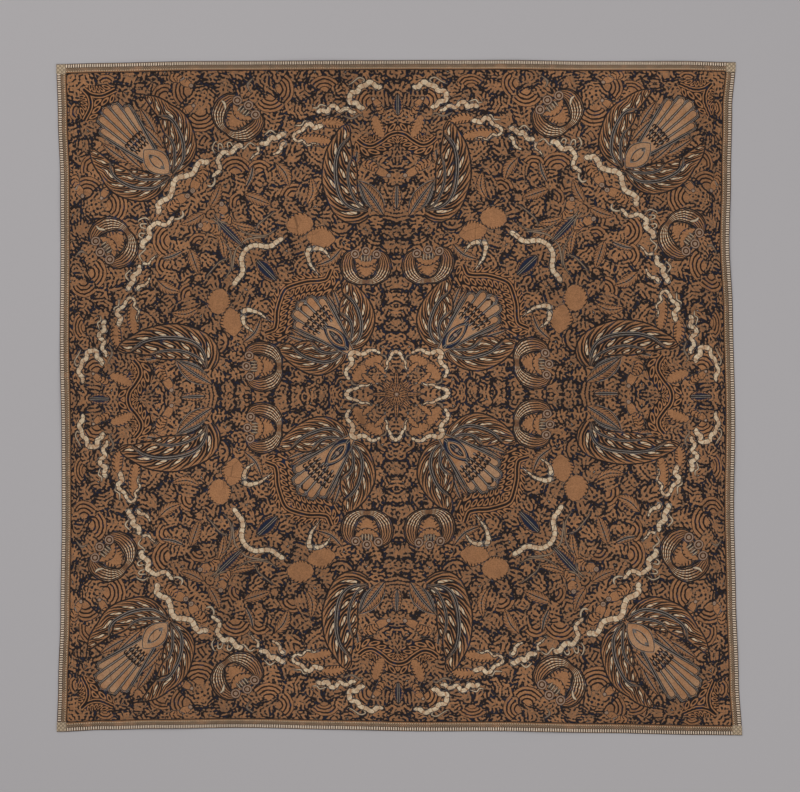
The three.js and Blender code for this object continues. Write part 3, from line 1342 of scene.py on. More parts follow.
def last_covering(
    points: np.ndarray, triangles: np.ndarray, pitch: float = 6, first: int = 1000, wide: int = 4000
) -> np.ndarray:
    """Finds the last triangle that covers each point.

    Args:
        points: the points, one a row.
        triangles: the triangles' corners, in the order of drawing.
        pitch: the pitch of the grid in which the points are looked up.
        first: the grid's number in the middle of the chart.
        wide: how many squares a row of the grid has.

    Returns:
        The triangles' numbers, or -1.
    """
    column, row = np.floor(points / pitch).astype(int).T + first
    key = row * wide + column
    order = np.argsort(key, kind="stable")
    keys = key[order]
    found = np.full(len(points), -1)
    low = np.floor(triangles.min(axis=1) / pitch).astype(int) + first
    high = np.floor(triangles.max(axis=1) / pitch).astype(int) + first
    for index, ((left, bottom), (right, top)) in enumerate(zip(low, high)):
        near = [
            order[np.searchsorted(keys, at * wide + left) : np.searchsorted(keys, at * wide + right + 1)]
            for at in range(bottom, top + 1)
        ]
        chosen = np.concatenate(near)
        if len(chosen):
            weights = barycentric(points[chosen][None], triangles[index][None])[0]
            found[chosen[(weights > -1e-9).all(axis=1)]] = index
    return found


def visible_sides(faces: np.ndarray, owner: np.ndarray, cell: np.ndarray) -> np.ndarray:
    """Finds the sides at which what shows changes.

    Args:
        faces: triangles of the plane.
        owner: the stroke that shows in each, or -1.
        cell: the leaf's triangle that shows in each, or -1.

    Returns:
        The sides.
    """
    ends = np.sort(faces[:, [[0, 1], [1, 2], [2, 0]]], axis=2).reshape(-1, 2)
    sides, which = np.unique(ends, axis=0, return_inverse=True)
    which = which.reshape(-1)
    changes = np.zeros(len(sides), dtype=bool)
    for values in (owner, cell):
        of_side = np.repeat(values, 3)
        least = np.full(len(sides), np.iinfo(int).max)
        most = np.full(len(sides), -2)
        np.minimum.at(least, which, of_side)
        np.maximum.at(most, which, of_side)
        changes |= least != most
    return sides[changes]


def thinned(
    points: np.ndarray, sides: np.ndarray, slack: float = 0.05, longest: float = 14
) -> tuple[np.ndarray, np.ndarray]:
    """Leaves out points that lie on the line between their two neighbours.

    Args:
        points: the points.
        sides: the sides between them.
        slack: how far off the line such a point may lie.
        longest: how long a side may become.

    Returns:
        The points and sides that are left.
    """
    beside: dict[int, set[int]] = {}
    for start, end in sides.tolist():
        beside.setdefault(start, set()).add(end)
        beside.setdefault(end, set()).add(start)
    for here in list(beside):
        if len(beside[here]) != 2:
            continue
        before, after = beside[here]
        line = points[after] - points[before]
        length = math.hypot(*line)
        away = points[here] - points[before]
        off = abs(line[0] * away[1] - line[1] * away[0]) / (length + 1e-9)
        if off < slack and length < longest and after not in beside[before]:
            beside[before].remove(here)
            beside[after].remove(here)
            beside[before].add(after)
            beside[after].add(before)
            beside[here] = set()
    left = {here: number for number, here in enumerate(h for h in beside if beside[h])}
    kept = [(left[a], left[b]) for a in left for b in beside[a] if a < b]
    return points[list(left)], np.array(kept)


def barycentric(points: np.ndarray, triangles: np.ndarray) -> np.ndarray:
    """Weighs triangles' corners at points.

    Args:
        points: three points for each triangle, n by 3 by 2.
        triangles: their triangles' corners, n by 3 by 2.

    Returns:
        The weights, n by 3 by 3.
    """
    origin = triangles[:, None, 0]
    first = triangles[:, None, 1] - origin
    second = triangles[:, None, 2] - origin
    toward = points - origin
    whole = first[..., 0] * second[..., 1] - first[..., 1] * second[..., 0]
    one = (toward[..., 0] * second[..., 1] - toward[..., 1] * second[..., 0]) / whole
    two = (first[..., 0] * toward[..., 1] - first[..., 1] * toward[..., 0]) / whole
    return np.stack((1 - one - two, one, two), axis=-1)


def drawn_pattern() -> Drawing:
    """Returns the whole pattern."""
    motifs = Chart()
    groups = (shells, sprigs, flowers, side_wing, corner_lar, inner_lar, tendrils, serpents)
    for group in groups:
        for motif in group():
            motif.draw(motifs)
    chart = Chart()
    GroundLeaves().draw(chart, motifs)
    for name in ("corners", "places", "marks", "strokes"):
        getattr(chart, name).extend(getattr(motifs, name))
    return Drawing.of(chart).unfolded()


# Finishes


def shade(red: int, green: int, blue: int) -> Colour:
    """Turns a colour as it is seen on a screen into the light that it sends.

    Args:
        red: its red, from 0 to 255.
        green: its green.
        blue: its blue.

    Returns:
        The colour.
    """
    linear = [
        value / 255 / 12.92 if value <= 10 else ((value / 255 + 0.055) / 1.055) ** 2.4
        for value in (red, green, blue)
    ]
    return (*linear, 1.0)


class Dye(Enum):
    """The colours of the cloth: resist-dyed soga brown and indigo on cream cotton."""

    SOGA = shade(157, 110, 73)
    DEEP_SOGA = shade(137, 96, 65)
    TAN = shade(170, 131, 97)
    CREAM = shade(205, 182, 150)
    SLATE = shade(132, 122, 112)
    RIM = shade(116, 92, 72)
    INDIGO = shade(25, 33, 52)
    NIGHT = shade(34, 24, 19)
    HEM = shade(108, 82, 56)
    HEM_DARK = shade(60, 46, 34)
    HEM_PALE = shade(217, 195, 170)


@dataclass(frozen=True)
class Value:
    """A number or colour in a node tree, on which Python's own signs for sums work."""

    pen: Sketch
    socket: bpy.types.NodeSocket

    def __add__(self, other: Value | float) -> Value:
        """Returns the sum."""
        return self.pen.math("ADD", self, other)

    def __sub__(self, other: Value | float) -> Value:
        """Returns what is left when the other is taken away."""
        return self.pen.math("SUBTRACT", self, other)

    def __rsub__(self, other: float) -> Value:
        """Returns what is left of a number when the value is taken away."""
        return self.pen.math("SUBTRACT", other, self)

    def __mul__(self, other: Value | float) -> Value:
        """Returns the product."""
        return self.pen.math("MULTIPLY", self, other)

    def __truediv__(self, other: Value | float) -> Value:
        """Returns the value as a share of the other."""
        return self.pen.math("DIVIDE", self, other)

    def __abs__(self) -> Value:
        """Returns the value without its sign."""
        return self.pen.math("ABSOLUTE", self)


Values = dict[str, Value]


class Sketch:
    """Writes a node tree in short steps."""

    def __init__(self, tree: bpy.types.NodeTree) -> None:
        """Starts on a tree."""
        self.tree = tree

    def node(self, kind: str, **settings: object) -> bpy.types.Node:
        """Adds a node.

        Args:
            kind: its type's name.
            settings: its settings.

        Returns:
            The node.
        """
        made = self.tree.nodes.new(f"ShaderNode{kind}")
        for name, value in settings.items():
            setattr(made, name, value)
        return made

    def join(self, socket: bpy.types.NodeSocket, value: object) -> None:
        """Links a socket to another or to a value, or gives it a number or a dye.

        Args:
            socket: the input.
            value: what goes into it.
        """
        if isinstance(value, Value):
            value = value.socket
        if isinstance(value, bpy.types.NodeSocket):
            self.tree.links.new(value, socket)
        else:
            socket.default_value = value.value if isinstance(value, Dye) else value

    def math(self, operation: str, *values: Value | float) -> Value:
        """Works out a sum.

        Args:
            operation: its name.
            values: what it is worked out from.

        Returns:
            The result.
        """
        made = self.node("Math", operation=operation)
        for socket, value in zip(made.inputs, values):
            self.join(socket, value)
        return Value(self, made.outputs[0])

    def ease(
        self,
        value: Value,
        low: Value | float,
        high: Value | float,
        start: float = 0,
        end: float = 1,
    ) -> Value:
        """Eases a value.

        Args:
            value: the value.
            low: where the ease begins.
            high: where it ends.
            start: what it gives up to low.
            end: what it gives from high.

        Returns:
            A number that goes smoothly from start to end.
        """
        made = self.node("MapRange", interpolation_type="SMOOTHSTEP")
        for socket, given in zip(made.inputs, (value, low, high, start, end)):
            self.join(socket, given)
        return Value(self, made.outputs[0])

    def mix(self, share: Value, first: Value | Dye | Colour, second: Value | Dye | Colour) -> Value:
        """Mixes two colours.

        Args:
            share: how much of the second shows, from 0 to 1.
            first: the colour where the share is 0.
            second: the colour where it is 1.

        Returns:
            The colour.
        """
        made = self.node("Mix", data_type="RGBA")
        for index, given in ((0, share), (6, first), (7, second)):
            self.join(made.inputs[index], given)
        return Value(self, made.outputs[2])

    def blend(self, share: Value, first: Value, second: Value) -> Value:
        """Blends two numbers.

        Args:
            share: how much of the second counts, from 0 to 1.
            first: the number where the share is 0.
            second: the number where it is 1.

        Returns:
            The number.
        """
        made = self.node("Mix", data_type="FLOAT")
        for index, given in ((0, share), (2, first), (3, second)):
            self.join(made.inputs[index], given)
        return Value(self, made.outputs[0])

    def noise(self, scale: float, detail: float = 2, seed: float = 0.0) -> Value:
        """Makes noise in the cloth's own space.

        Args:
            scale: how many features there are in a metre.
            detail: how many finer layers it has.
            seed: which of many noises it is.

        Returns:
            Noise about 0.5.
        """
        made = self.node("TexNoise", noise_dimensions="4D")
        self.join(made.inputs["Vector"], self.node("TexCoord").outputs["Object"])
        self.join(made.inputs["W"], seed)
        self.join(made.inputs["Scale"], scale)
        self.join(made.inputs["Detail"], detail)
        return Value(self, made.outputs[0])

    def sway(self, scale: float, reach: float, seed: float) -> Value:
        """Returns noise about 0, within half a reach."""
        return (self.noise(scale, 1, seed) - 0.5) * reach

    def split(self, vector: bpy.types.NodeSocket) -> tuple[Value, ...]:
        """Splits a vector.

        Args:
            vector: the socket that gives it.

        Returns:
            Its three numbers.
        """
        made = self.node("SeparateXYZ")
        self.join(made.inputs[0], vector)
        return tuple(Value(self, socket) for socket in made.outputs)

    def parts(self, name: str) -> tuple[Value, ...]:
        """Returns the three numbers of a mesh attribute."""
        return self.split(self.node("Attribute", attribute_name=name).outputs["Vector"])

    def wave(self, value: Value, pitch: Value | float) -> Value:
        """Returns a zigzag of a value: 0 in the middle of each pitch and 1 between two."""
        return abs(self.math("FRACT", value / pitch) - 0.5) * 2.0

    def band(self, value: Value, low: float, full: float, fading: float, gone: float) -> Value:
        """Returns a mask that rises from low to full and falls from fading to gone."""
        return self.ease(value, low, full) * self.ease(value, fading, gone, 1, 0)

    def line(self, value: Value, middle: float, half_width: float, soft: float = 0.25) -> Value:
        """Returns a mask, 1 where a value lies within a half width of a middle."""
        off = abs(value - middle)
        return self.ease(off, half_width - soft, half_width + soft, 1, 0)

    def placed(self, group: bpy.types.NodeTree, **values: object) -> bpy.types.Node:
        """Places a group.

        Args:
            group: the group's tree.
            values: what goes into its inputs, by their names.

        Returns:
            Its node.
        """
        made = self.tree.nodes.new("ShaderNodeGroup")
        made.node_tree = group
        for name, value in values.items():
            self.join(made.inputs[name], value)
        return made


class Group:
    """A shader node group with named inputs and outputs, built once."""

    name = "group"
    inputs: dict[str, str] = {}
    outputs: dict[str, str] = {}

    @classmethod
    def tree(cls) -> bpy.types.NodeTree:
        """Returns the group's tree, which it builds the first time."""
        if cls.name in bpy.data.node_groups:
            return bpy.data.node_groups[cls.name]
        tree = bpy.data.node_groups.new(cls.name, "ShaderNodeTree")
        for in_out, sockets in (("INPUT", cls.inputs), ("OUTPUT", cls.outputs)):
            for label, kind in sockets.items():
                tree.interface.new_socket(label, in_out=in_out, socket_type=f"NodeSocket{kind}")
        start = tree.nodes.new("NodeGroupInput")
        end = tree.nodes.new("NodeGroupOutput")
        pen = Sketch(tree)
        given = {label: Value(pen, start.outputs[label]) for label in cls.inputs}
        for label, result in cls.build(pen, given).items():
            pen.join(end.inputs[label], result)
        return tree

    @classmethod
    def build(cls, pen: Sketch, given: Values) -> Values:
        """Builds the nodes.

        Args:
            pen: the sketch to write on.
            given: the group's inputs.

        Returns:
            What each output shows.
        """
        raise NotImplementedError


class DarkDye(Group):
    """The twice-dyed dark between the motifs: brown-black, with pools of indigo."""

    name = "dark_dye"
    outputs = {"Colour": "Color"}

    @classmethod
    def build(cls, pen: Sketch, given: Values) -> Values:
        """Builds the nodes."""
        pools = pen.ease(pen.noise(80, 2, 3.0), 0.54, 0.68)
        return {"Colour": pen.mix(pools, Dye.NIGHT, Dye.INDIGO)}


def dark_dye(pen: Sketch) -> Value:
    """Returns the twice-dyed dark."""
    return Value(pen, pen.placed(DarkDye.tree()).outputs[0])


class DrawnRim(Group):
    """A body inside a dark line and a thin slate one, drawn by hand along a stroke's rim."""

    name = "drawn_rim"
    inputs = {"Inwards": "Float", "Body": "Color", "Slate": "Float", "Dark": "Float"}
    outputs = {"Colour": "Color"}
    wobble = 0.9
    slate_soft = 0.2
    body_soft = 0.25

    @classmethod
    def build(cls, pen: Sketch, given: Values) -> Values:
        """Builds the nodes.

        Args:
            pen: the sketch to write on.
            given: the group's inputs.

        Returns:
            What each output shows.
        """
        inwards = given["Inwards"] + (pen.noise(190, 2) - 0.5) * cls.wobble
        inner = given["Slate"] + given["Dark"]
        in_dark = pen.ease(inwards, given["Slate"] - cls.slate_soft, given["Slate"] + cls.slate_soft)
        in_body = pen.ease(inwards, inner - cls.body_soft, inner + cls.body_soft)
        rim = pen.mix(in_dark, Dye.SLATE, dark_dye(pen))
        return {"Colour": pen.mix(in_body, rim, given["Body"])}


class Cotton(Group):
    """Plain-woven dyed cotton: uneven dye, wax crackle, fading and the threads' relief."""

    name = "cotton"
    inputs = {"Colour": "Color", "Crackle": "Float", "Relief": "Float"}
    outputs = {"Colour": "Color", "Roughness": "Float", "Normal": "Vector"}
    cracks_per_metre = 42.0
    thread_pitch = 0.55 * MM
    thread_height = 0.12 * MM

    @classmethod
    def build(cls, pen: Sketch, given: Values) -> Values:
        """Builds the nodes.

        Args:
            pen: the sketch to write on.
            given: the group's inputs.

        Returns:
            What each output shows.
        """
        place = pen.node("TexCoord").outputs["Object"]
        clouds = pen.ease(pen.noise(5, 3), 0.3, 0.7, 0.9, 1.1)
        grain = pen.ease(pen.noise(520, 2, 1.0), 0.25, 0.75, 0.78, 1.2)
        strength = clouds * grain
        toned = pen.node("Mix", data_type="RGBA", blend_type="MULTIPLY")
        grey = pen.node("CombineColor")
        for socket in grey.inputs:
            pen.join(socket, strength)
        for index, value in ((0, 1.0), (6, given["Colour"]), (7, grey.outputs[0])):
            pen.join(toned.inputs[index], value)
        cracks = pen.node("TexVoronoi", feature="DISTANCE_TO_EDGE")
        pen.join(cracks.inputs["Vector"], place)
        pen.join(cracks.inputs["Scale"], cls.cracks_per_metre)
        vein = pen.ease(cracks.outputs["Distance"], 0.0, 0.03, 1, 0)
        vein = vein * pen.ease(pen.noise(14, 2, 7.0), 0.5, 0.65)
        cracked = pen.mix(vein * given["Crackle"], toned.outputs[2], Dye.NIGHT)
        x, y, _ = pen.split(place)
        turns = 2 * math.pi / cls.thread_pitch
        threads = pen.math("SINE", x * turns) * pen.math("SINE", y * turns)
        slubs = pen.noise(260, 3, 2.0) * 2.2
        bump = pen.node("Bump")
        pen.join(bump.inputs["Height"], threads + slubs)
        pen.join(bump.inputs["Strength"], given["Relief"])
        pen.join(bump.inputs["Distance"], cls.thread_height)
        roughness = pen.ease(pen.noise(40, 2, 4.0), 0.3, 0.7, 0.84, 0.97)
        normal = Value(pen, bump.outputs[0])
        return {"Colour": cracked, "Roughness": roughness, "Normal": normal}


@dataclass(frozen=True)
class Finish:
    """A finish of the cloth. Its subclasses draw the lines of one stroke."""

    name: str
    crackle: float = 0.5
    relief: float = 0.6
    sheen: float = 0.12

    def paint(self, pen: Sketch) -> Value:
        """Returns the finish's colour."""
        return dark_dye(pen)

    def material(self) -> bpy.types.Material:
        """Returns the finish as a material."""
        made = bpy.data.materials.new(self.name)
        made.use_nodes = True
        pen = Sketch(made.node_tree)
        surface = made.node_tree.nodes["Principled BSDF"]
        cotton = pen.placed(
            Cotton.tree(), Colour=self.paint(pen), Crackle=self.crackle, Relief=self.relief
        )
        pen.join(surface.inputs["Base Color"], cotton.outputs["Colour"])
        pen.join(surface.inputs["Roughness"], cotton.outputs["Roughness"])
        pen.join(surface.inputs["Normal"], cotton.outputs["Normal"])
        surface.inputs["Sheen Weight"].default_value = self.sheen
        surface.inputs["Specular IOR Level"].default_value = 0.2
        return made


def beaded_cream(pen: Sketch, along: Value, pitch: float) -> Value:
    """Returns cream with a row of brown beads."""
    bead = pen.ease(pen.wave(along, pitch), 0.45, 0.8, 0, 0.9)
    return pen.mix(bead, Dye.CREAM, Dye.SOGA)


def share_of(off: Value, half: Value, least: float = 0.01) -> Value:
    """Returns a distance as a share of a stroke's half width, which may be 0 at its tips."""
    return off / (half + least)


@dataclass(frozen=True)
class StrokeFinish(Finish):
    """A finish that follows a stroke: inwards is the distance from the stroke's rim."""

    slate: float = 0.4
    dark: float = 0.8

    def body(self, pen: Sketch) -> Value:
        """Draws the inside of the stroke's rim.

        Args:
            pen: the sketch to write on.

        Returns:
            Its colour.
        """
        number = pen.parts("mark")[1]
        tone = pen.noise(120, 2, 5.0) + number * 0.25
        return pen.mix(pen.ease(tone, 0.4, 0.85), Dye.SOGA, Dye.DEEP_SOGA)

    def inwards(self, pen: Sketch) -> Value:
        """Returns the distance from the stroke's rim."""
        _, off, half = pen.parts("place")
        return half - abs(off)

    def paint(self, pen: Sketch) -> Value:
        """Draws the body inside its rim.

        Args:
            pen: the sketch to write on.

        Returns:
            The colour.
        """
        drawn = pen.placed(
            DrawnRim.tree(),
            Inwards=self.inwards(pen),
            Body=self.body(pen),
            Slate=self.slate,
            Dark=self.dark,
        )
        return Value(pen, drawn.outputs[0])


@dataclass(frozen=True)
class LeafFinish(StrokeFinish):
    """A ground sprig: brown lobes that meet like coral, thinning out towards its rim.

    The two sides are a rib apart, and apart sets the sprigs' lobes far from each other's.
    """

    lobe: float = 4.2
    share: float = 0.488
    lean: float = 0.85
    rib: float = 0.7
    apart: tuple[float, float] = (731.0, 377.0)

    def paint(self, pen: Sketch) -> Value:
        """Draws the lobes and the dark between them.

        Args:
            pen: the sketch to write on.

        Returns:
            The colour.
        """
        along, off, inwards = pen.parts("place")
        number = pen.parts("mark")[1]
        spot = pen.node("CombineXYZ")
        pen.join(spot.inputs[0], along + number * self.apart[0])
        pen.join(spot.inputs[1], abs(off) + self.rib + number * self.apart[1])
        lobes = pen.node("TexGabor")
        pen.join(lobes.inputs["Vector"], spot.outputs[0])
        pen.join(lobes.inputs["Scale"], 0.5 / self.lobe)
        pen.join(lobes.inputs["Frequency"], 2.0)
        pen.join(lobes.inputs["Anisotropy"], 0.32)
        pen.join(lobes.inputs["Orientation"], self.lean)
        lift = pen.ease(inwards, 0.0, 4.0, -0.12, 0.06)
        height = Value(pen, lobes.outputs["Value"]) - self.share + lift
        height = height + pen.sway(380, 0.42, 2.0)
        height = height + pen.sway(48, 0.36, 6.0)
        pool = pen.ease(height, -0.3, -0.12, 0.8, 0)
        dark = pen.mix(pool, Dye.NIGHT, Dye.INDIGO)
        body = pen.mix(pen.ease(height, 0.02, 0.12, 0.8, 0), self.body(pen), Dye.RIM)
        from_bud = abs(off) * 2.6 + abs(along)
        has_bud = pen.ease(pen.math("FRACT", number * 3.7), 0.72, 0.73)
        body = pen.mix(pen.ease(from_bud, 2.8, 3.6, 1, 0) * has_bud, body, Dye.NIGHT)
        body = pen.mix(pen.ease(from_bud, 1.2, 1.9, 1, 0) * has_bud, body, Dye.SLATE)
        return pen.mix(pen.ease(height, -0.025, 0.025), dark, body)


@dataclass(frozen=True)
class FeatherFinish(StrokeFinish):
    """A layer of feathers: they leave the quill's side slantwise, with a beaded cream lens each.

    The stroke's number holds a tenth of the slant, and its own number the pitch, which is
    below 0 where the quill is on the left.
    """

    slate: float = 0.0
    dark: float = 0.45

    def body(self, pen: Sketch) -> Value:
        """Draws the feathers, their lenses and the dark between them.

        Args:
            pen: the sketch to write on.

        Returns:
            The colour.
        """
        along, off, half = pen.parts("place")
        _, slant, own = pen.parts("mark")
        breadth = pen.math("MAXIMUM", half * 2.0, 0.1)
        outwards = half + pen.math("SIGN", own) * off
        share = outwards / breadth
        lag = outwards * slant * (share * 6.0 + 8.0)
        run = along - lag + pen.sway(90, 2.0, 3.0)
        between = pen.wave(run, abs(own))
        lens = pen.band(share, 0.14, 0.34, 0.42, 0.72) * 0.3
        spike = pen.band(share, 0.0, 0.2, 0.7, 1.1)
        shadow = lens + spike * 0.36
        parting = pen.ease(between - (1.0 - spike * 0.24), -0.05, 0.05)
        colour = pen.mix(parting, super().body(pen), Dye.NIGHT)
        colour = pen.mix(pen.ease(shadow - between, -0.05, 0.05), colour, dark_dye(pen))
        in_lens = pen.ease(lens - between, -0.04, 0.06)
        return pen.mix(in_lens, colour, beaded_cream(pen, outwards, 3.0))


@dataclass(frozen=True)
class RayFinish(StrokeFinish):
    """A plain tan ray with a drawn rim.

    The own number is the radius of its round tip, and its number a hundredth of its length.
    """

    slate: float = 0.5

    def inwards(self, pen: Sketch) -> Value:
        """Measures from the ray's sides or its round tip.

        Args:
            pen: the sketch to write on.

        Returns:
            The distance.
        """
        along, off, half = pen.parts("place")
        _, length, tip = pen.parts("mark")
        before = length * 100.0 - along
        past = pen.math("MAXIMUM", tip - before, 0.0)
        round_off = past * past + off * off
        from_tip = tip - pen.math("SQRT", round_off)
        from_side = half - abs(off)
        at_tip = pen.ease(past, 0.0, 0.2) * pen.ease(tip, 0.5, 0.6)
        return pen.blend(at_tip, from_side, from_tip)

    def body(self, pen: Sketch) -> Value:
        """Returns tan."""
        tone = pen.ease(pen.noise(30, 3, 6.0), 0.35, 0.7)
        return pen.mix(tone, Dye.TAN, Dye.SOGA)


@dataclass(frozen=True)
class SerpentFinish(StrokeFinish):
    """Cream, with tan joints between its segments."""

    slate: float = 0.0
    dark: float = 0.85
    pitch: float = 5.6
    notch: float = 0.5

    def from_joint(self, pen: Sketch) -> Value:
        """Finds the joints.

        Args:
            pen: the sketch to write on.

        Returns:
            1 at the joints and 0 half-way between them.
        """
        along, off, half = pen.parts("place")
        across = share_of(abs(off), half)
        bent = along - across * across * 1.2
        return pen.wave(bent + pen.sway(60, 1.6, 3.0), self.pitch)

    def inwards(self, pen: Sketch) -> Value:
        """Returns the distance from the serpent's rim, which is notched at each joint."""
        notches = pen.ease(self.from_joint(pen), 0.5, 1.0, 0, self.notch)
        return super().inwards(pen) - notches

    def body(self, pen: Sketch) -> Value:
        """Draws cream between the joints.

        Args:
            pen: the sketch to write on.

        Returns:
            The colour.
        """
        joint = pen.ease(self.from_joint(pen), 0.72, 0.95)
        tone = pen.ease(pen.noise(90, 2, 8.0), 0.42, 0.62, 0, 0.6)
        cream = pen.mix(tone, Dye.CREAM, Dye.TAN)
        return pen.mix(joint * 0.75, cream, Dye.SOGA)


@dataclass(frozen=True)
class TendrilFinish(StrokeFinish):
    """A thin line between dark sides: cream, or two slate ones with indigo between."""

    slate: float = 0.0
    dark: float = 0.5

    def body(self, pen: Sketch) -> Value:
        """Draws the line.

        Args:
            pen: the sketch to write on.

        Returns:
            The colour.
        """
        _, off, half = pen.parts("place")
        tone = pen.parts("mark")[2]
        across = share_of(abs(off), half)
        wide = pen.ease(half, 1.2, 1.45)
        inside = pen.ease(across, 0.3, 0.45, 1, 0) * wide
        line = pen.mix(wide, Dye.RIM, Dye.SLATE)
        double = pen.mix(inside, line, Dye.NIGHT)
        return pen.mix(tone, double, Dye.CREAM)


@dataclass(frozen=True)
class FanFinish(StrokeFinish):
    """A shell: concentric dark arcs about a plain plate."""

    slate: float = 0.0
    dark: float = 0.6
    pitch: float = 4.0
    plate: float = 0.26

    def inwards(self, pen: Sketch) -> Value:
        """Returns the distance from the shell's arc."""
        return pen.parts("mark")[2] - self.out(pen)

    def out(self, pen: Sketch) -> Value:
        """Returns the distance from the apex."""
        x, y, _ = pen.parts("place")
        return pen.math("SQRT", x * x + y * y)

    def body(self, pen: Sketch) -> Value:
        """Draws the arcs.

        Args:
            pen: the sketch to write on.

        Returns:
            The colour.
        """
        inwards = self.inwards(pen)
        between = pen.wave(inwards + pen.sway(160, 2.0, 11.0), self.pitch)
        radius = pen.parts("mark")[2]
        plate = pen.ease(self.out(pen) / radius, self.plate, self.plate + 0.05)
        dark = pen.ease(between, 0.46, 0.7) * plate
        return pen.mix(dark, super().body(pen), dark_dye(pen))


@dataclass(frozen=True)
class GarlandFinish(StrokeFinish):
    """A double spine with rows of slit leaf scales on both sides."""

    row: float = 8.0
    pitch: float = 6.0
    slate: float = 0.0
    dark: float = 0.4

    def body(self, pen: Sketch) -> Value:
        """Draws the spine and the scales on the dark ground.

        Args:
            pen: the sketch to write on.

        Returns:
            The colour.
        """
        along, off, _ = pen.parts("place")
        side = abs(off - pen.parts("mark")[2])
        row = (side - 2.7) / self.row
        step = pen.math("FLOOR", row) * (self.pitch / 2)
        lean = side * 0.7
        across = pen.wave(along + lean + step, self.pitch)
        down = pen.math("FRACT", row) * 2.0 - 1.0
        pointed = across * (down * 0.35 + 1.1)
        almond = pointed * pointed + down * down
        scale = pen.mix(pen.ease(almond, 0.16, 0.3), Dye.NIGHT, Dye.SOGA)
        dark = dark_dye(pen)
        scales = pen.mix(pen.ease(almond, 0.7, 0.88), scale, dark)
        spine = pen.mix(pen.line(side, 1.75, 0.6, 0.2), dark, Dye.SOGA)
        return pen.mix(pen.ease(side, 2.5, 2.9), spine, scales)


@dataclass(frozen=True)
class PlateFinish(StrokeFinish):
    """A plain brown body, whose rim is cut into teeth as far as its own number says."""

    slate: float = 0.1

    def body(self, pen: Sketch) -> Value:
        """Draws brown, with dark teeth at the rim.

        Args:
            pen: the sketch to write on.

        Returns:
            The colour.
        """
        along, off, half = pen.parts("place")
        combed = pen.parts("mark")[2]
        across = share_of(abs(off), half)
        bent = along + abs(off) * 0.5
        teeth = pen.ease(pen.wave(bent, 3.6), 0.5, 0.75)
        deep = pen.ease(across, 1.0 - combed, 1.15 - combed)
        tone = pen.ease(pen.noise(60, 2, 6.0), 0.4, 0.7, 0, 0.5)
        brown = pen.mix(tone, Dye.SOGA, Dye.DEEP_SOGA)
        return pen.mix(teeth * deep, brown, dark_dye(pen))


@dataclass(frozen=True)
class SlitLeafFinish(StrokeFinish):
    """A fringed leaf with an indigo core and a slate double rib."""

    slate: float = 0.0
    dark: float = 0.7

    def body(self, pen: Sketch) -> Value:
        """Draws the fringe, the core and the rib.

        Args:
            pen: the sketch to write on.

        Returns:
            The colour.
        """
        along, off, half = pen.parts("place")
        core = pen.parts("mark")[2]
        side = abs(off)
        across = share_of(side, half)
        barbs = pen.wave(along - side * 1.1, 3.3)
        fringe = pen.ease(barbs, 0.5, 0.8) * pen.ease(across, 0.4, 0.75)
        leaf = pen.mix(fringe, super().body(pen), dark_dye(pen))
        jagged = across + barbs * 0.22
        inside = pen.ease(jagged, core, core + 0.12, 1, 0)
        deep = pen.mix(pen.ease(side, 1.4, 2.0), Dye.NIGHT, Dye.INDIGO)
        inner = pen.mix(pen.line(side, 0.9, 0.3, 0.15), deep, Dye.SLATE)
        return pen.mix(inside, leaf, inner)


@dataclass(frozen=True)
class EyeFinish(FanFinish):
    """A ringed disc: slate and dark rings about a pale middle."""

    pitch: float = 2.6

    def body(self, pen: Sketch) -> Value:
        """Draws the rings.

        Args:
            pen: the sketch to write on.

        Returns:
            The colour.
        """
        rings = pen.wave(self.inwards(pen), self.pitch)
        ringed = pen.mix(pen.ease(rings, 0.45, 0.75), Dye.SOGA, Dye.NIGHT)
        ringed = pen.mix(pen.line(rings, 0.15, 0.14, 0.1), ringed, Dye.SLATE)
        return pen.mix(pen.ease(self.out(pen), 0.4, 0.8, 0.4, 0), ringed, Dye.CREAM)


@dataclass(frozen=True)
class CrescentFinish(StrokeFinish):
    """A curled wing: nested bands that part towards its tip, cream near its root."""

    slate: float = 0.0
    dark: float = 0.4
    bands: int = 5

    def body(self, pen: Sketch) -> Value:
        """Draws the bands between their dark lines.

        Args:
            pen: the sketch to write on.

        Returns:
            The colour.
        """
        along, off, half = pen.parts("place")
        share = pen.parts("mark")[0]
        across = share_of(off, half)
        band = across * (self.bands / 2) + pen.sway(130, 0.7, 9.0)
        between = pen.wave(band, 1.0)
        lit = pen.band(share, 0.06, 0.16, 0.44, 0.6) * pen.ease(between, 0.25, 0.45, 1, 0)
        brown = pen.mix(pen.ease(between, 0.35, 0.55, 0, 0.6), super().body(pen), Dye.RIM)
        lit_brown = pen.mix(lit, brown, beaded_cream(pen, along, 3.6))
        return pen.mix(pen.ease(between, 0.48, 0.66), lit_brown, dark_dye(pen))


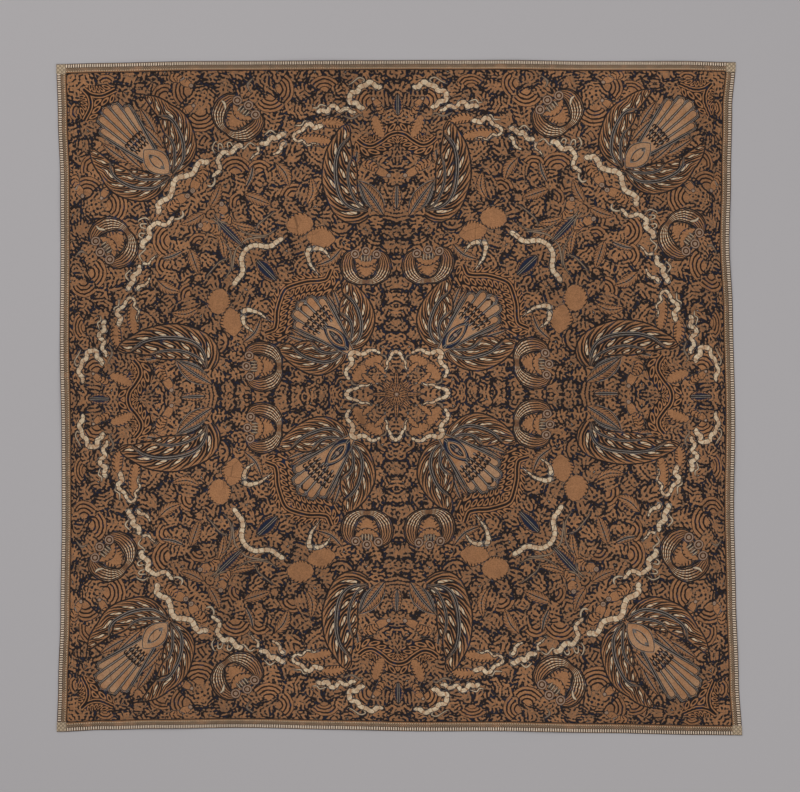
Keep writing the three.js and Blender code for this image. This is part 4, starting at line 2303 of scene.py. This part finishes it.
@dataclass(frozen=True)
class HemFinish(Finish):
    """The hem's border: pale ticks, a dotted brown band and a dark inner line, with painted shade along
    the folded outer edge.

    place holds the distances along the hem and in from its edge, in millimetres, and mark holds
    1 on the cross-hatched corner squares.
    """

    tick_pitch: float = 3.7
    crackle: float = 0.2

    def paint(self, pen: Sketch) -> Value:
        """Draws the border.

        Args:
            pen: the sketch to write on.

        Returns:
            The colour.
        """
        along, inwards, _ = pen.parts("place")
        corner = pen.parts("mark")[0]
        sway = pen.sway(120, 1.6, 0.0)
        across = inwards + sway * 0.5
        run = along + sway
        dark = dark_dye(pen)
        ground = pen.mix(pen.ease(pen.noise(70, 3, 2.0), 0.45, 0.8), Dye.HEM, Dye.SOGA)
        tick = pen.ease(pen.wave(run, self.tick_pitch), 0.42, 0.62, 1, 0)
        ticks = pen.mix(tick, Dye.HEM_DARK, Dye.HEM_PALE)
        colour = pen.mix(pen.band(across, 1.0, 1.6, 5.8, 6.5), ground, ticks)
        colour = pen.mix(pen.line(across, 6.5, 0.4, 0.25) * 0.7, colour, dark)
        band = pen.band(across, 6.8, 7.4, 10.4, 11.0)
        rise = pen.wave(run + inwards, self.tick_pitch * 0.8)
        colour = pen.mix(band * pen.ease(rise, 0.1, 0.5, 0.55, 0), colour, Dye.HEM_PALE)
        fall = pen.wave(run - inwards, self.tick_pitch * 0.8)
        colour = pen.mix(band * pen.ease(fall, 0.4, 0.8, 0, 0.85), colour, Dye.HEM_DARK)
        dots = pen.ease(pen.wave(run, self.tick_pitch), 0.3, 0.7, 0.9, 0.0)
        colour = pen.mix(pen.line(across, 11.9, 0.7, 0.4) * dots, colour, Dye.CREAM)
        colour = pen.mix(pen.line(across, 13.2, 0.6, 0.4), colour, Dye.DEEP_SOGA)
        colour = pen.mix(pen.ease(across, 14.0, 14.7), colour, dark)
        rise = pen.wave(along + inwards, 6.4)
        fall = pen.wave(along - inwards, 6.4)
        hatch = pen.ease(pen.math("MAXIMUM", rise, fall), 0.5, 0.75)
        hatch = pen.ease(hatch, 0.0, 1.0, 0.2, 0.6)
        colour = pen.mix(corner, colour, pen.mix(hatch, Dye.CREAM, Dye.HEM_DARK))
        # Painted shade: the outermost millimetre, where the hem rolls over its edge, is darkened with the
        # dark dye.
        return pen.mix(pen.ease(inwards, 0.4, 1.1, 0.9, 0), colour, dark)


@dataclass(frozen=True)
class ThreadFinish(Finish):
    """Twisted cotton sewing thread."""

    def paint(self, pen: Sketch) -> Value:
        """Returns the thread's tan, darkened in small patches of noise: painted shade standing in for the
        grooves between its strands.
        """
        return pen.mix(pen.ease(pen.noise(900, 2, 1.0), 0.4, 0.6, 0, 0.6), Dye.TAN, Dye.SOGA)


def pattern_finishes() -> list[Finish]:
    """Returns the finishes of the strokes, in the order of Stroke."""
    return [
        LeafFinish("batik_leaf"),
        Finish("batik_gap"),
        FeatherFinish("batik_feather"),
        RayFinish("batik_ray"),
        SerpentFinish("batik_serpent", crackle=0.8),
        TendrilFinish("batik_tendril"),
        FanFinish("batik_fan"),
        GarlandFinish("batik_garland"),
        PlateFinish("batik_plate"),
        SlitLeafFinish("batik_slit_leaf"),
        EyeFinish("batik_eye"),
        CrescentFinish("batik_crescent"),
    ]


# The pieces


def mesh_piece(name: str, points: np.ndarray, faces: Iterable[Sequence[int]]) -> bpy.types.Object:
    """Makes a new piece at the origin.

    Args:
        name: its name.
        points: its points, in metres.
        faces: its faces, as rows of point numbers.

    Returns:
        The piece.
    """
    mesh = bpy.data.meshes.new(name)
    mesh.from_pydata(points.tolist(), [], [list(face) for face in faces])
    mesh.update()
    piece = bpy.data.objects.new(name, mesh)
    bpy.context.collection.objects.link(piece)
    return piece


def write_corners(piece: bpy.types.Object, name: str, values: np.ndarray) -> None:
    """Writes a vector for each corner of a piece's faces."""
    layer = piece.data.attributes.new(name, "FLOAT_VECTOR", "CORNER")
    layer.data.foreach_set("vector", values.astype(np.float32).ravel())


def select_only(piece: bpy.types.Object) -> None:
    """Selects one piece and makes it active.

    Args:
        piece: the piece.
    """
    bpy.ops.object.select_all(action="DESELECT")
    piece.select_set(True)
    bpy.context.view_layer.objects.active = piece


def hill(value: np.ndarray, middle: float, width: float) -> np.ndarray:
    """Returns a smooth hill, 1 at its middle and almost 0 at twice its width from there."""
    return np.exp(-(((value - middle) / width) ** 2))


@dataclass(frozen=True)
class HandDrift:
    """How far the hand-drawn pattern lies from the even chart, in the chart's units.

    The two sides of the cloth were drawn apart and meet to the right of the middle. A pair of
    numbers is for the left and the right side, apart from middle_drift, which is a direction.
    """

    rim: float = 30
    half_height: float = 300
    sides_meet: float = 45
    sides_blend: float = 40
    far_start: float = 170
    far_width: float = 50
    shift: float = 0.5
    shear: float = 1.7
    spread: float = 0.024
    spread_lost: float = 0.016
    bulge: float = 2
    middle_drift: Point = (-2.5, 3.5)
    middle_width: float = 85
    side_shift: tuple[float, float] = (-2.5, 2.5)
    side_stretch: tuple[float, float] = (2, 2.5)
    flower_push: float = 7
    upper_rise: tuple[float, float] = (-1.5, 3)
    lower_rise: float = 3
    lower_rise_far: float = 2
    corner_drop: float = 14
    wander: float = 0.7

    def moved(self, points: np.ndarray) -> np.ndarray:
        """Moves the chart's points to where the hand drew them.

        Args:
            points: places on the even chart.

        Returns:
            The moved places. The chart's own rim stays.
        """
        inside = np.clip((CHART_REACH - np.abs(points)) / self.rim, 0, 1).min(axis=1)
        x, y = points.T
        right = 0.5 + 0.5 * np.tanh((x - self.sides_meet) / self.sides_blend)
        left = 1 - right
        far = np.clip((x - self.far_start) / self.far_width, 0, 1)
        up = y / self.half_height
        middle = hill(x, 0, self.middle_width) * hill(y, 0, self.middle_width)
        off_x = self.shift + self.shear * up + x * (self.spread - self.spread_lost * up**2)
        off_x += self.bulge * far * (1 - up**2) + self.middle_drift[0] * middle
        off_x += self.flower_push * np.sign(x) * hill(np.abs(x), 52, 15) * hill(y, 0, 36)
        off_y = self.middle_drift[1] * middle
        for side, shift, stretch in zip((left, right), self.side_shift, self.side_stretch):
            off_y += side * (shift + stretch * up)
        off_y += (self.upper_rise[0] * left + self.upper_rise[1] * far) * hill(up, 0.5, 0.2)
        off_y += (self.lower_rise + self.lower_rise_far * far) * right * hill(up, -0.3, 0.15)
        off_y -= self.corner_drop * right * np.clip(-0.55 - up, 0, 1)
        off_x += self.wander * (np.sin(y / 23 + 1.3) + 0.6 * np.sin(x / 17 + y / 31))
        off_y += self.wander * (np.sin(x / 21 + 4.1) + 0.6 * np.sin(y / 19 - x / 29 + 2))
        return points + inside[:, None] * np.column_stack((off_x, off_y))


@dataclass
class Field:
    """The single sheet of patterned cotton inside the hems."""

    form: ClothForm
    name: str = "batik_sheet"
    drift: HandDrift = HandDrift()
    crease: float = 0.35 * MM

    def build(self) -> bpy.types.Object:
        """Returns the sheet, dyed and with its thickness."""
        drawing = drawn_pattern()
        points = self.drift.moved(drawing.points)
        rim = self.form.field_rim
        s, t = (
            rim + (points[:, k] / CHART_REACH + 1) / 2 * (size - 2 * rim)
            for k, size in enumerate((self.form.width, self.form.height))
        )
        laid = self.form.lay(s, t, self.form.thickness)
        laid[:, 2] += self._creases(points)
        sheet = mesh_piece(self.name, laid, drawing.faces)
        write_corners(sheet, "place", drawing.places)
        write_corners(sheet, "mark", drawing.marks)
        for finish in pattern_finishes():
            sheet.data.materials.append(finish.material())
        sheet.data.polygons.foreach_set("material_index", drawing.strokes.astype(np.int32))
        select_only(sheet)
        wall = sheet.modifiers.new("wall", "SOLIDIFY")
        wall.thickness = self.form.thickness
        wall.offset = -1
        bpy.ops.object.modifier_apply(modifier=wall.name)
        bpy.ops.object.shade_smooth_by_angle(angle=math.radians(40))
        return sheet

    def _creases(self, points: np.ndarray) -> np.ndarray:
        """Works out the soft unevenness in which the cotton lies.

        Args:
            points: places on the chart.

        Returns:
            The heights there.
        """
        inside = np.clip((CHART_REACH - np.abs(points)) / 40, 0, 1).min(axis=1)
        x, y = points.T
        waves = np.sin(x / 41 + y / 67 + 0.4) * np.sin(y / 37 - x / 83 + 2.2)
        return self.crease * inside * (1 + waves)


@dataclass
class Hem:
    """One edge of the cloth, turned over and sewn down."""

    form: ClothForm
    edge: Edge
    step: float = 3.2 * MM
    fold_steps: int = 8
    pucker: float = 0.12 * MM

    @property
    def name(self) -> str:
        """The piece's name."""
        return f"folded_hem_{self.edge.value}"

    @property
    def ends(self) -> tuple[float, float]:
        """Where the hem starts and ends along its edge."""
        if self.edge.upright:
            return self.form.side_hem_start, self.form.height - self.form.side_hem_start
        return 0.0, self.form.width

    def lay(self, along: np.ndarray, inwards: np.ndarray, height: np.ndarray) -> np.ndarray:
        """Lays places of the hem on the ground.

        Args:
            along: distances along the hem.
            inwards: distances in from its edge.
            height: heights above the ground.

        Returns:
            The places, one a row.
        """
        form = self.form
        if self.edge is Edge.BOTTOM:
            return form.lay(along, inwards, height)
        if self.edge is Edge.TOP:
            return form.lay(form.width - along, form.height - inwards, height)
        if self.edge is Edge.LEFT:
            return form.lay(inwards, form.height - along, height)
        return form.lay(form.width - inwards, along, height)

    def section(self) -> np.ndarray:
        """Returns the hem's section: distances in from the edge, and heights."""
        form = self.form
        outer = form.thickness + form.fold_gap / 2
        inner = form.fold_gap / 2
        turn = np.linspace(0, math.pi, self.fold_steps + 1)
        fold = np.column_stack((outer - outer * np.sin(turn), outer + outer * np.cos(turn)))
        back = np.column_stack((outer - inner * np.sin(turn), outer + inner * np.cos(turn)))[::-2]
        top = np.array(
            [(form.hem_width * share, 2 * outer) for share in (1, 0.985, 0.8, 0.6, 0.4, 0.2)]
        )
        under = np.array([(form.under_hem_end, 0), (form.under_hem_end, form.thickness)])
        lower = np.array([(form.hem_width, form.thickness + form.fold_gap)])
        return np.vstack((top, fold, under, back, lower))

    def build(self) -> bpy.types.Object:
        """Returns the folded hem, with its border drawn on."""
        section = self.section()
        start, end = self.ends
        count = round((end - start) / self.step)
        along = np.linspace(start, end, count + 1)
        size = len(section)
        run = np.repeat(along, size)
        inwards, height = (np.tile(section[:, k], count + 1) for k in range(2))
        on_top = height > 1.5 * self.form.thickness
        ruck = np.sin(run / (3.3 * MM) * 2.1) * np.sin(run / (17 * MM)) + 0.6 * np.sin(run / (41 * MM))
        height = height + on_top * self.pucker * ruck * (inwards / self.form.hem_width)
        points = self.lay(run, inwards, height)
        ring = np.arange(size)
        following = (ring + 1) % size
        rows = np.arange(count)[:, None] * size
        quads = np.stack(
            (rows + ring, rows + following, rows + size + following, rows + size + ring), axis=2
        ).reshape(-1, 4)
        last = count * size
        caps = [list(range(size))[::-1], [last + k for k in range(size)]]
        piece = mesh_piece(self.name, points, quads.tolist() + caps)
        corners = np.concatenate((quads.ravel(), caps[0], caps[1]))
        self._mark(piece, run[corners], inwards[corners])
        piece.data.materials.append(HemFinish("batik_hem").material())
        select_only(piece)
        bpy.ops.object.shade_smooth_by_angle(angle=math.radians(50))
        return piece

    def _mark(self, piece: bpy.types.Object, run: np.ndarray, inwards: np.ndarray) -> None:
        """Writes the border's places, and which places lie in the corner squares.

        Args:
            piece: the hem's piece.
            run: each corner's distance along the hem.
            inwards: its distance in from the edge.
        """
        from_end = np.minimum(run, (self.form.height if self.edge.upright else self.form.width) - run)
        corner = (from_end < self.form.hem_width).astype(float)
        nothing = np.zeros(len(run))
        write_corners(piece, "place", np.column_stack((run / MM, inwards / MM, nothing)))
        write_corners(piece, "mark", np.column_stack((corner, nothing, nothing)))


@dataclass
class Stitching:
    """The running stitches that hold the hems down."""

    hems: Sequence[Hem]
    pitch: float = 3.4 * MM
    length: float = 2.3 * MM
    radius: float = 0.3 * MM
    inset: float = 1.9 * MM
    name: str = "hem_stitches"

    def build(self) -> bpy.types.Object:
        """Returns all the stitches as one piece."""
        points, faces = self._one_stitch()
        all_points, all_faces = [], []
        total = 0
        for hem in self.hems:
            for placed in self._along(hem, points):
                all_points.append(placed)
                all_faces.extend([[corner + total for corner in face] for face in faces])
                total += len(points)
        piece = mesh_piece(self.name, np.vstack(all_points), all_faces)
        piece.data.materials.append(ThreadFinish("sewing_thread").material())
        select_only(piece)
        bpy.ops.object.shade_smooth_by_angle(angle=math.radians(60))
        return piece

    def _one_stitch(self) -> tuple[np.ndarray, list[list[int]]]:
        """Returns one stitch along X: a short length of thread whose ends dive into the cloth."""
        bpy.ops.object.select_all(action="DESELECT")
        bpy.ops.mesh.primitive_cylinder_add(
            vertices=6, radius=self.radius, depth=self.length, rotation=(0, math.pi / 2, 0)
        )
        stitch = bpy.context.object
        bpy.ops.object.transform_apply(location=True, rotation=True, scale=True)
        bpy.ops.object.mode_set(mode="EDIT")
        bpy.ops.mesh.select_mode(type="EDGE")
        bpy.ops.mesh.select_all(action="DESELECT")
        bpy.ops.object.mode_set(mode="OBJECT")
        vertices = stitch.data.vertices
        for edge in stitch.data.edges:
            ends = [vertices[k].co.x for k in edge.vertices]
            edge.select = abs(ends[0] - ends[1]) > self.length / 2
        bpy.ops.object.mode_set(mode="EDIT")
        bpy.ops.mesh.subdivide(number_cuts=3)
        bpy.ops.object.mode_set(mode="OBJECT")
        points = np.array([tuple(vertex.co) for vertex in stitch.data.vertices])
        faces = [list(polygon.vertices) for polygon in stitch.data.polygons]
        bpy.data.objects.remove(stitch)
        part = points[:, 0] / (self.length / 2)
        slim = 1 - 0.45 * part**4
        points[:, 1:] *= slim[:, None]
        points[:, 2] -= self.radius * 1.6 * part**2
        return points, faces

    def _along(self, hem: Hem, points: np.ndarray) -> Iterable[np.ndarray]:
        """Places stitches along a hem.

        Args:
            hem: the hem.
            points: one stitch.

        Returns:
            One stitch's points after the other's.
        """
        start, end = hem.ends
        clear = hem.form.hem_width if not hem.edge.upright else 0
        count = int((end - start - 2 * clear) / self.pitch)
        first = (start + end - (count - 1) * self.pitch) / 2
        top = 2 * hem.form.thickness + hem.form.fold_gap
        for number in range(count):
            middle = first + number * self.pitch
            tilt = 0.1 * math.sin(2.7 * number)
            along = middle + points[:, 0] * math.cos(tilt) - points[:, 1] * math.sin(tilt)
            across = points[:, 0] * math.sin(tilt) + points[:, 1] * math.cos(tilt)
            inwards = hem.form.hem_width - self.inset + across
            yield hem.lay(along, inwards, top + 0.45 * self.radius + points[:, 2])


# The stage


@dataclass(frozen=True)
class FloorFinish:
    """A plain pale matt floor."""

    colour: Colour = shade(173, 169, 168)

    def material(self) -> bpy.types.Material:
        """Returns the finish as a material."""
        made = bpy.data.materials.new("plain_floor")
        made.use_nodes = True
        pen = Sketch(made.node_tree)
        surface = made.node_tree.nodes["Principled BSDF"]
        pale = tuple(min(1, value * 1.03) for value in self.colour[:3]) + (1.0,)
        tone = pen.mix(pen.noise(1.2, 1), self.colour, pale)
        pen.join(surface.inputs["Base Color"], tone)
        surface.inputs["Roughness"].default_value = 0.9
        surface.inputs["Specular IOR Level"].default_value = 0.1
        return made


@dataclass
class Stage:
    """The floor, the soft lights and the camera straight above."""

    floor_size: float = 12
    camera_height: float = 4.2
    view_width: float = 1.2430
    view_shift: Point = (1.2 * MM, 2.7 * MM)
    sky: Colour = (0.9, 0.92, 1, 1)
    sky_strength: float = 0.35

    def build(self) -> None:
        """Builds the stage."""
        bpy.ops.object.select_all(action="DESELECT")
        bpy.ops.mesh.primitive_plane_add(size=self.floor_size)
        floor = bpy.context.object
        floor.name = "floor"
        floor.data.materials.append(FloorFinish().material())
        self._light("key_light", (-1.6, 1.8, 3.4), 2.4, 62)
        self._light("fill_light", (2.2, -1.4, 3.0), 2.8, 34)
        self._light("top_light", (0, 0, 4.6), 3.4, 38)
        world = bpy.data.worlds.new("studio")
        world.use_nodes = True
        backdrop = world.node_tree.nodes["Background"]
        backdrop.inputs["Color"].default_value = self.sky
        backdrop.inputs["Strength"].default_value = self.sky_strength
        bpy.context.scene.world = world
        bpy.context.scene.view_settings.view_transform = "Standard"
        self._camera()

    def _light(self, name: str, place: tuple[float, float, float], size: float, power: float) -> None:
        """Adds a soft light that looks at the middle of the cloth.

        Args:
            name: its name.
            place: where it hangs.
            size: how wide it is.
            power: its power, in watts.
        """
        light = bpy.data.lights.new(name, "AREA")
        light.shape = "DISK"
        light.size = size
        light.energy = power
        lamp = bpy.data.objects.new(name, light)
        lamp.location = place
        lamp.rotation_euler = (-Vector(place)).to_track_quat("-Z", "Y").to_euler()
        bpy.context.collection.objects.link(lamp)

    def _camera(self) -> None:
        """Adds the camera above the cloth, looking straight down."""
        data = bpy.data.cameras.new("camera")
        data.sensor_fit = "HORIZONTAL"
        data.angle = 2 * math.atan(self.view_width / 2 / self.camera_height)
        data.clip_end = 60
        camera = bpy.data.objects.new("camera", data)
        camera.location = (*self.view_shift, self.camera_height)
        bpy.context.collection.objects.link(camera)
        bpy.context.scene.camera = camera


def main() -> None:
    """Builds the head cloth around the frame, and its stage."""
    logging.basicConfig(level=logging.INFO, format="%(name)s: %(message)s")
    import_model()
    form = ClothForm()
    Stage().build()
    sheet = Field(form).build()
    hems = [Hem(form, edge) for edge in Edge]
    folds = [hem.build() for hem in hems]
    stitches = Stitching(hems).build()
    for piece in (sheet, *folds, stitches):
        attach(piece, "root")
        log.info("%s: %d faces", piece.name, len(piece.data.polygons))
    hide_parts("cloth_field")
    for hem, fold in zip(hems, folds):
        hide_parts(f"hem_{hem.edge.value}")


if __name__ == "__main__":
    main()
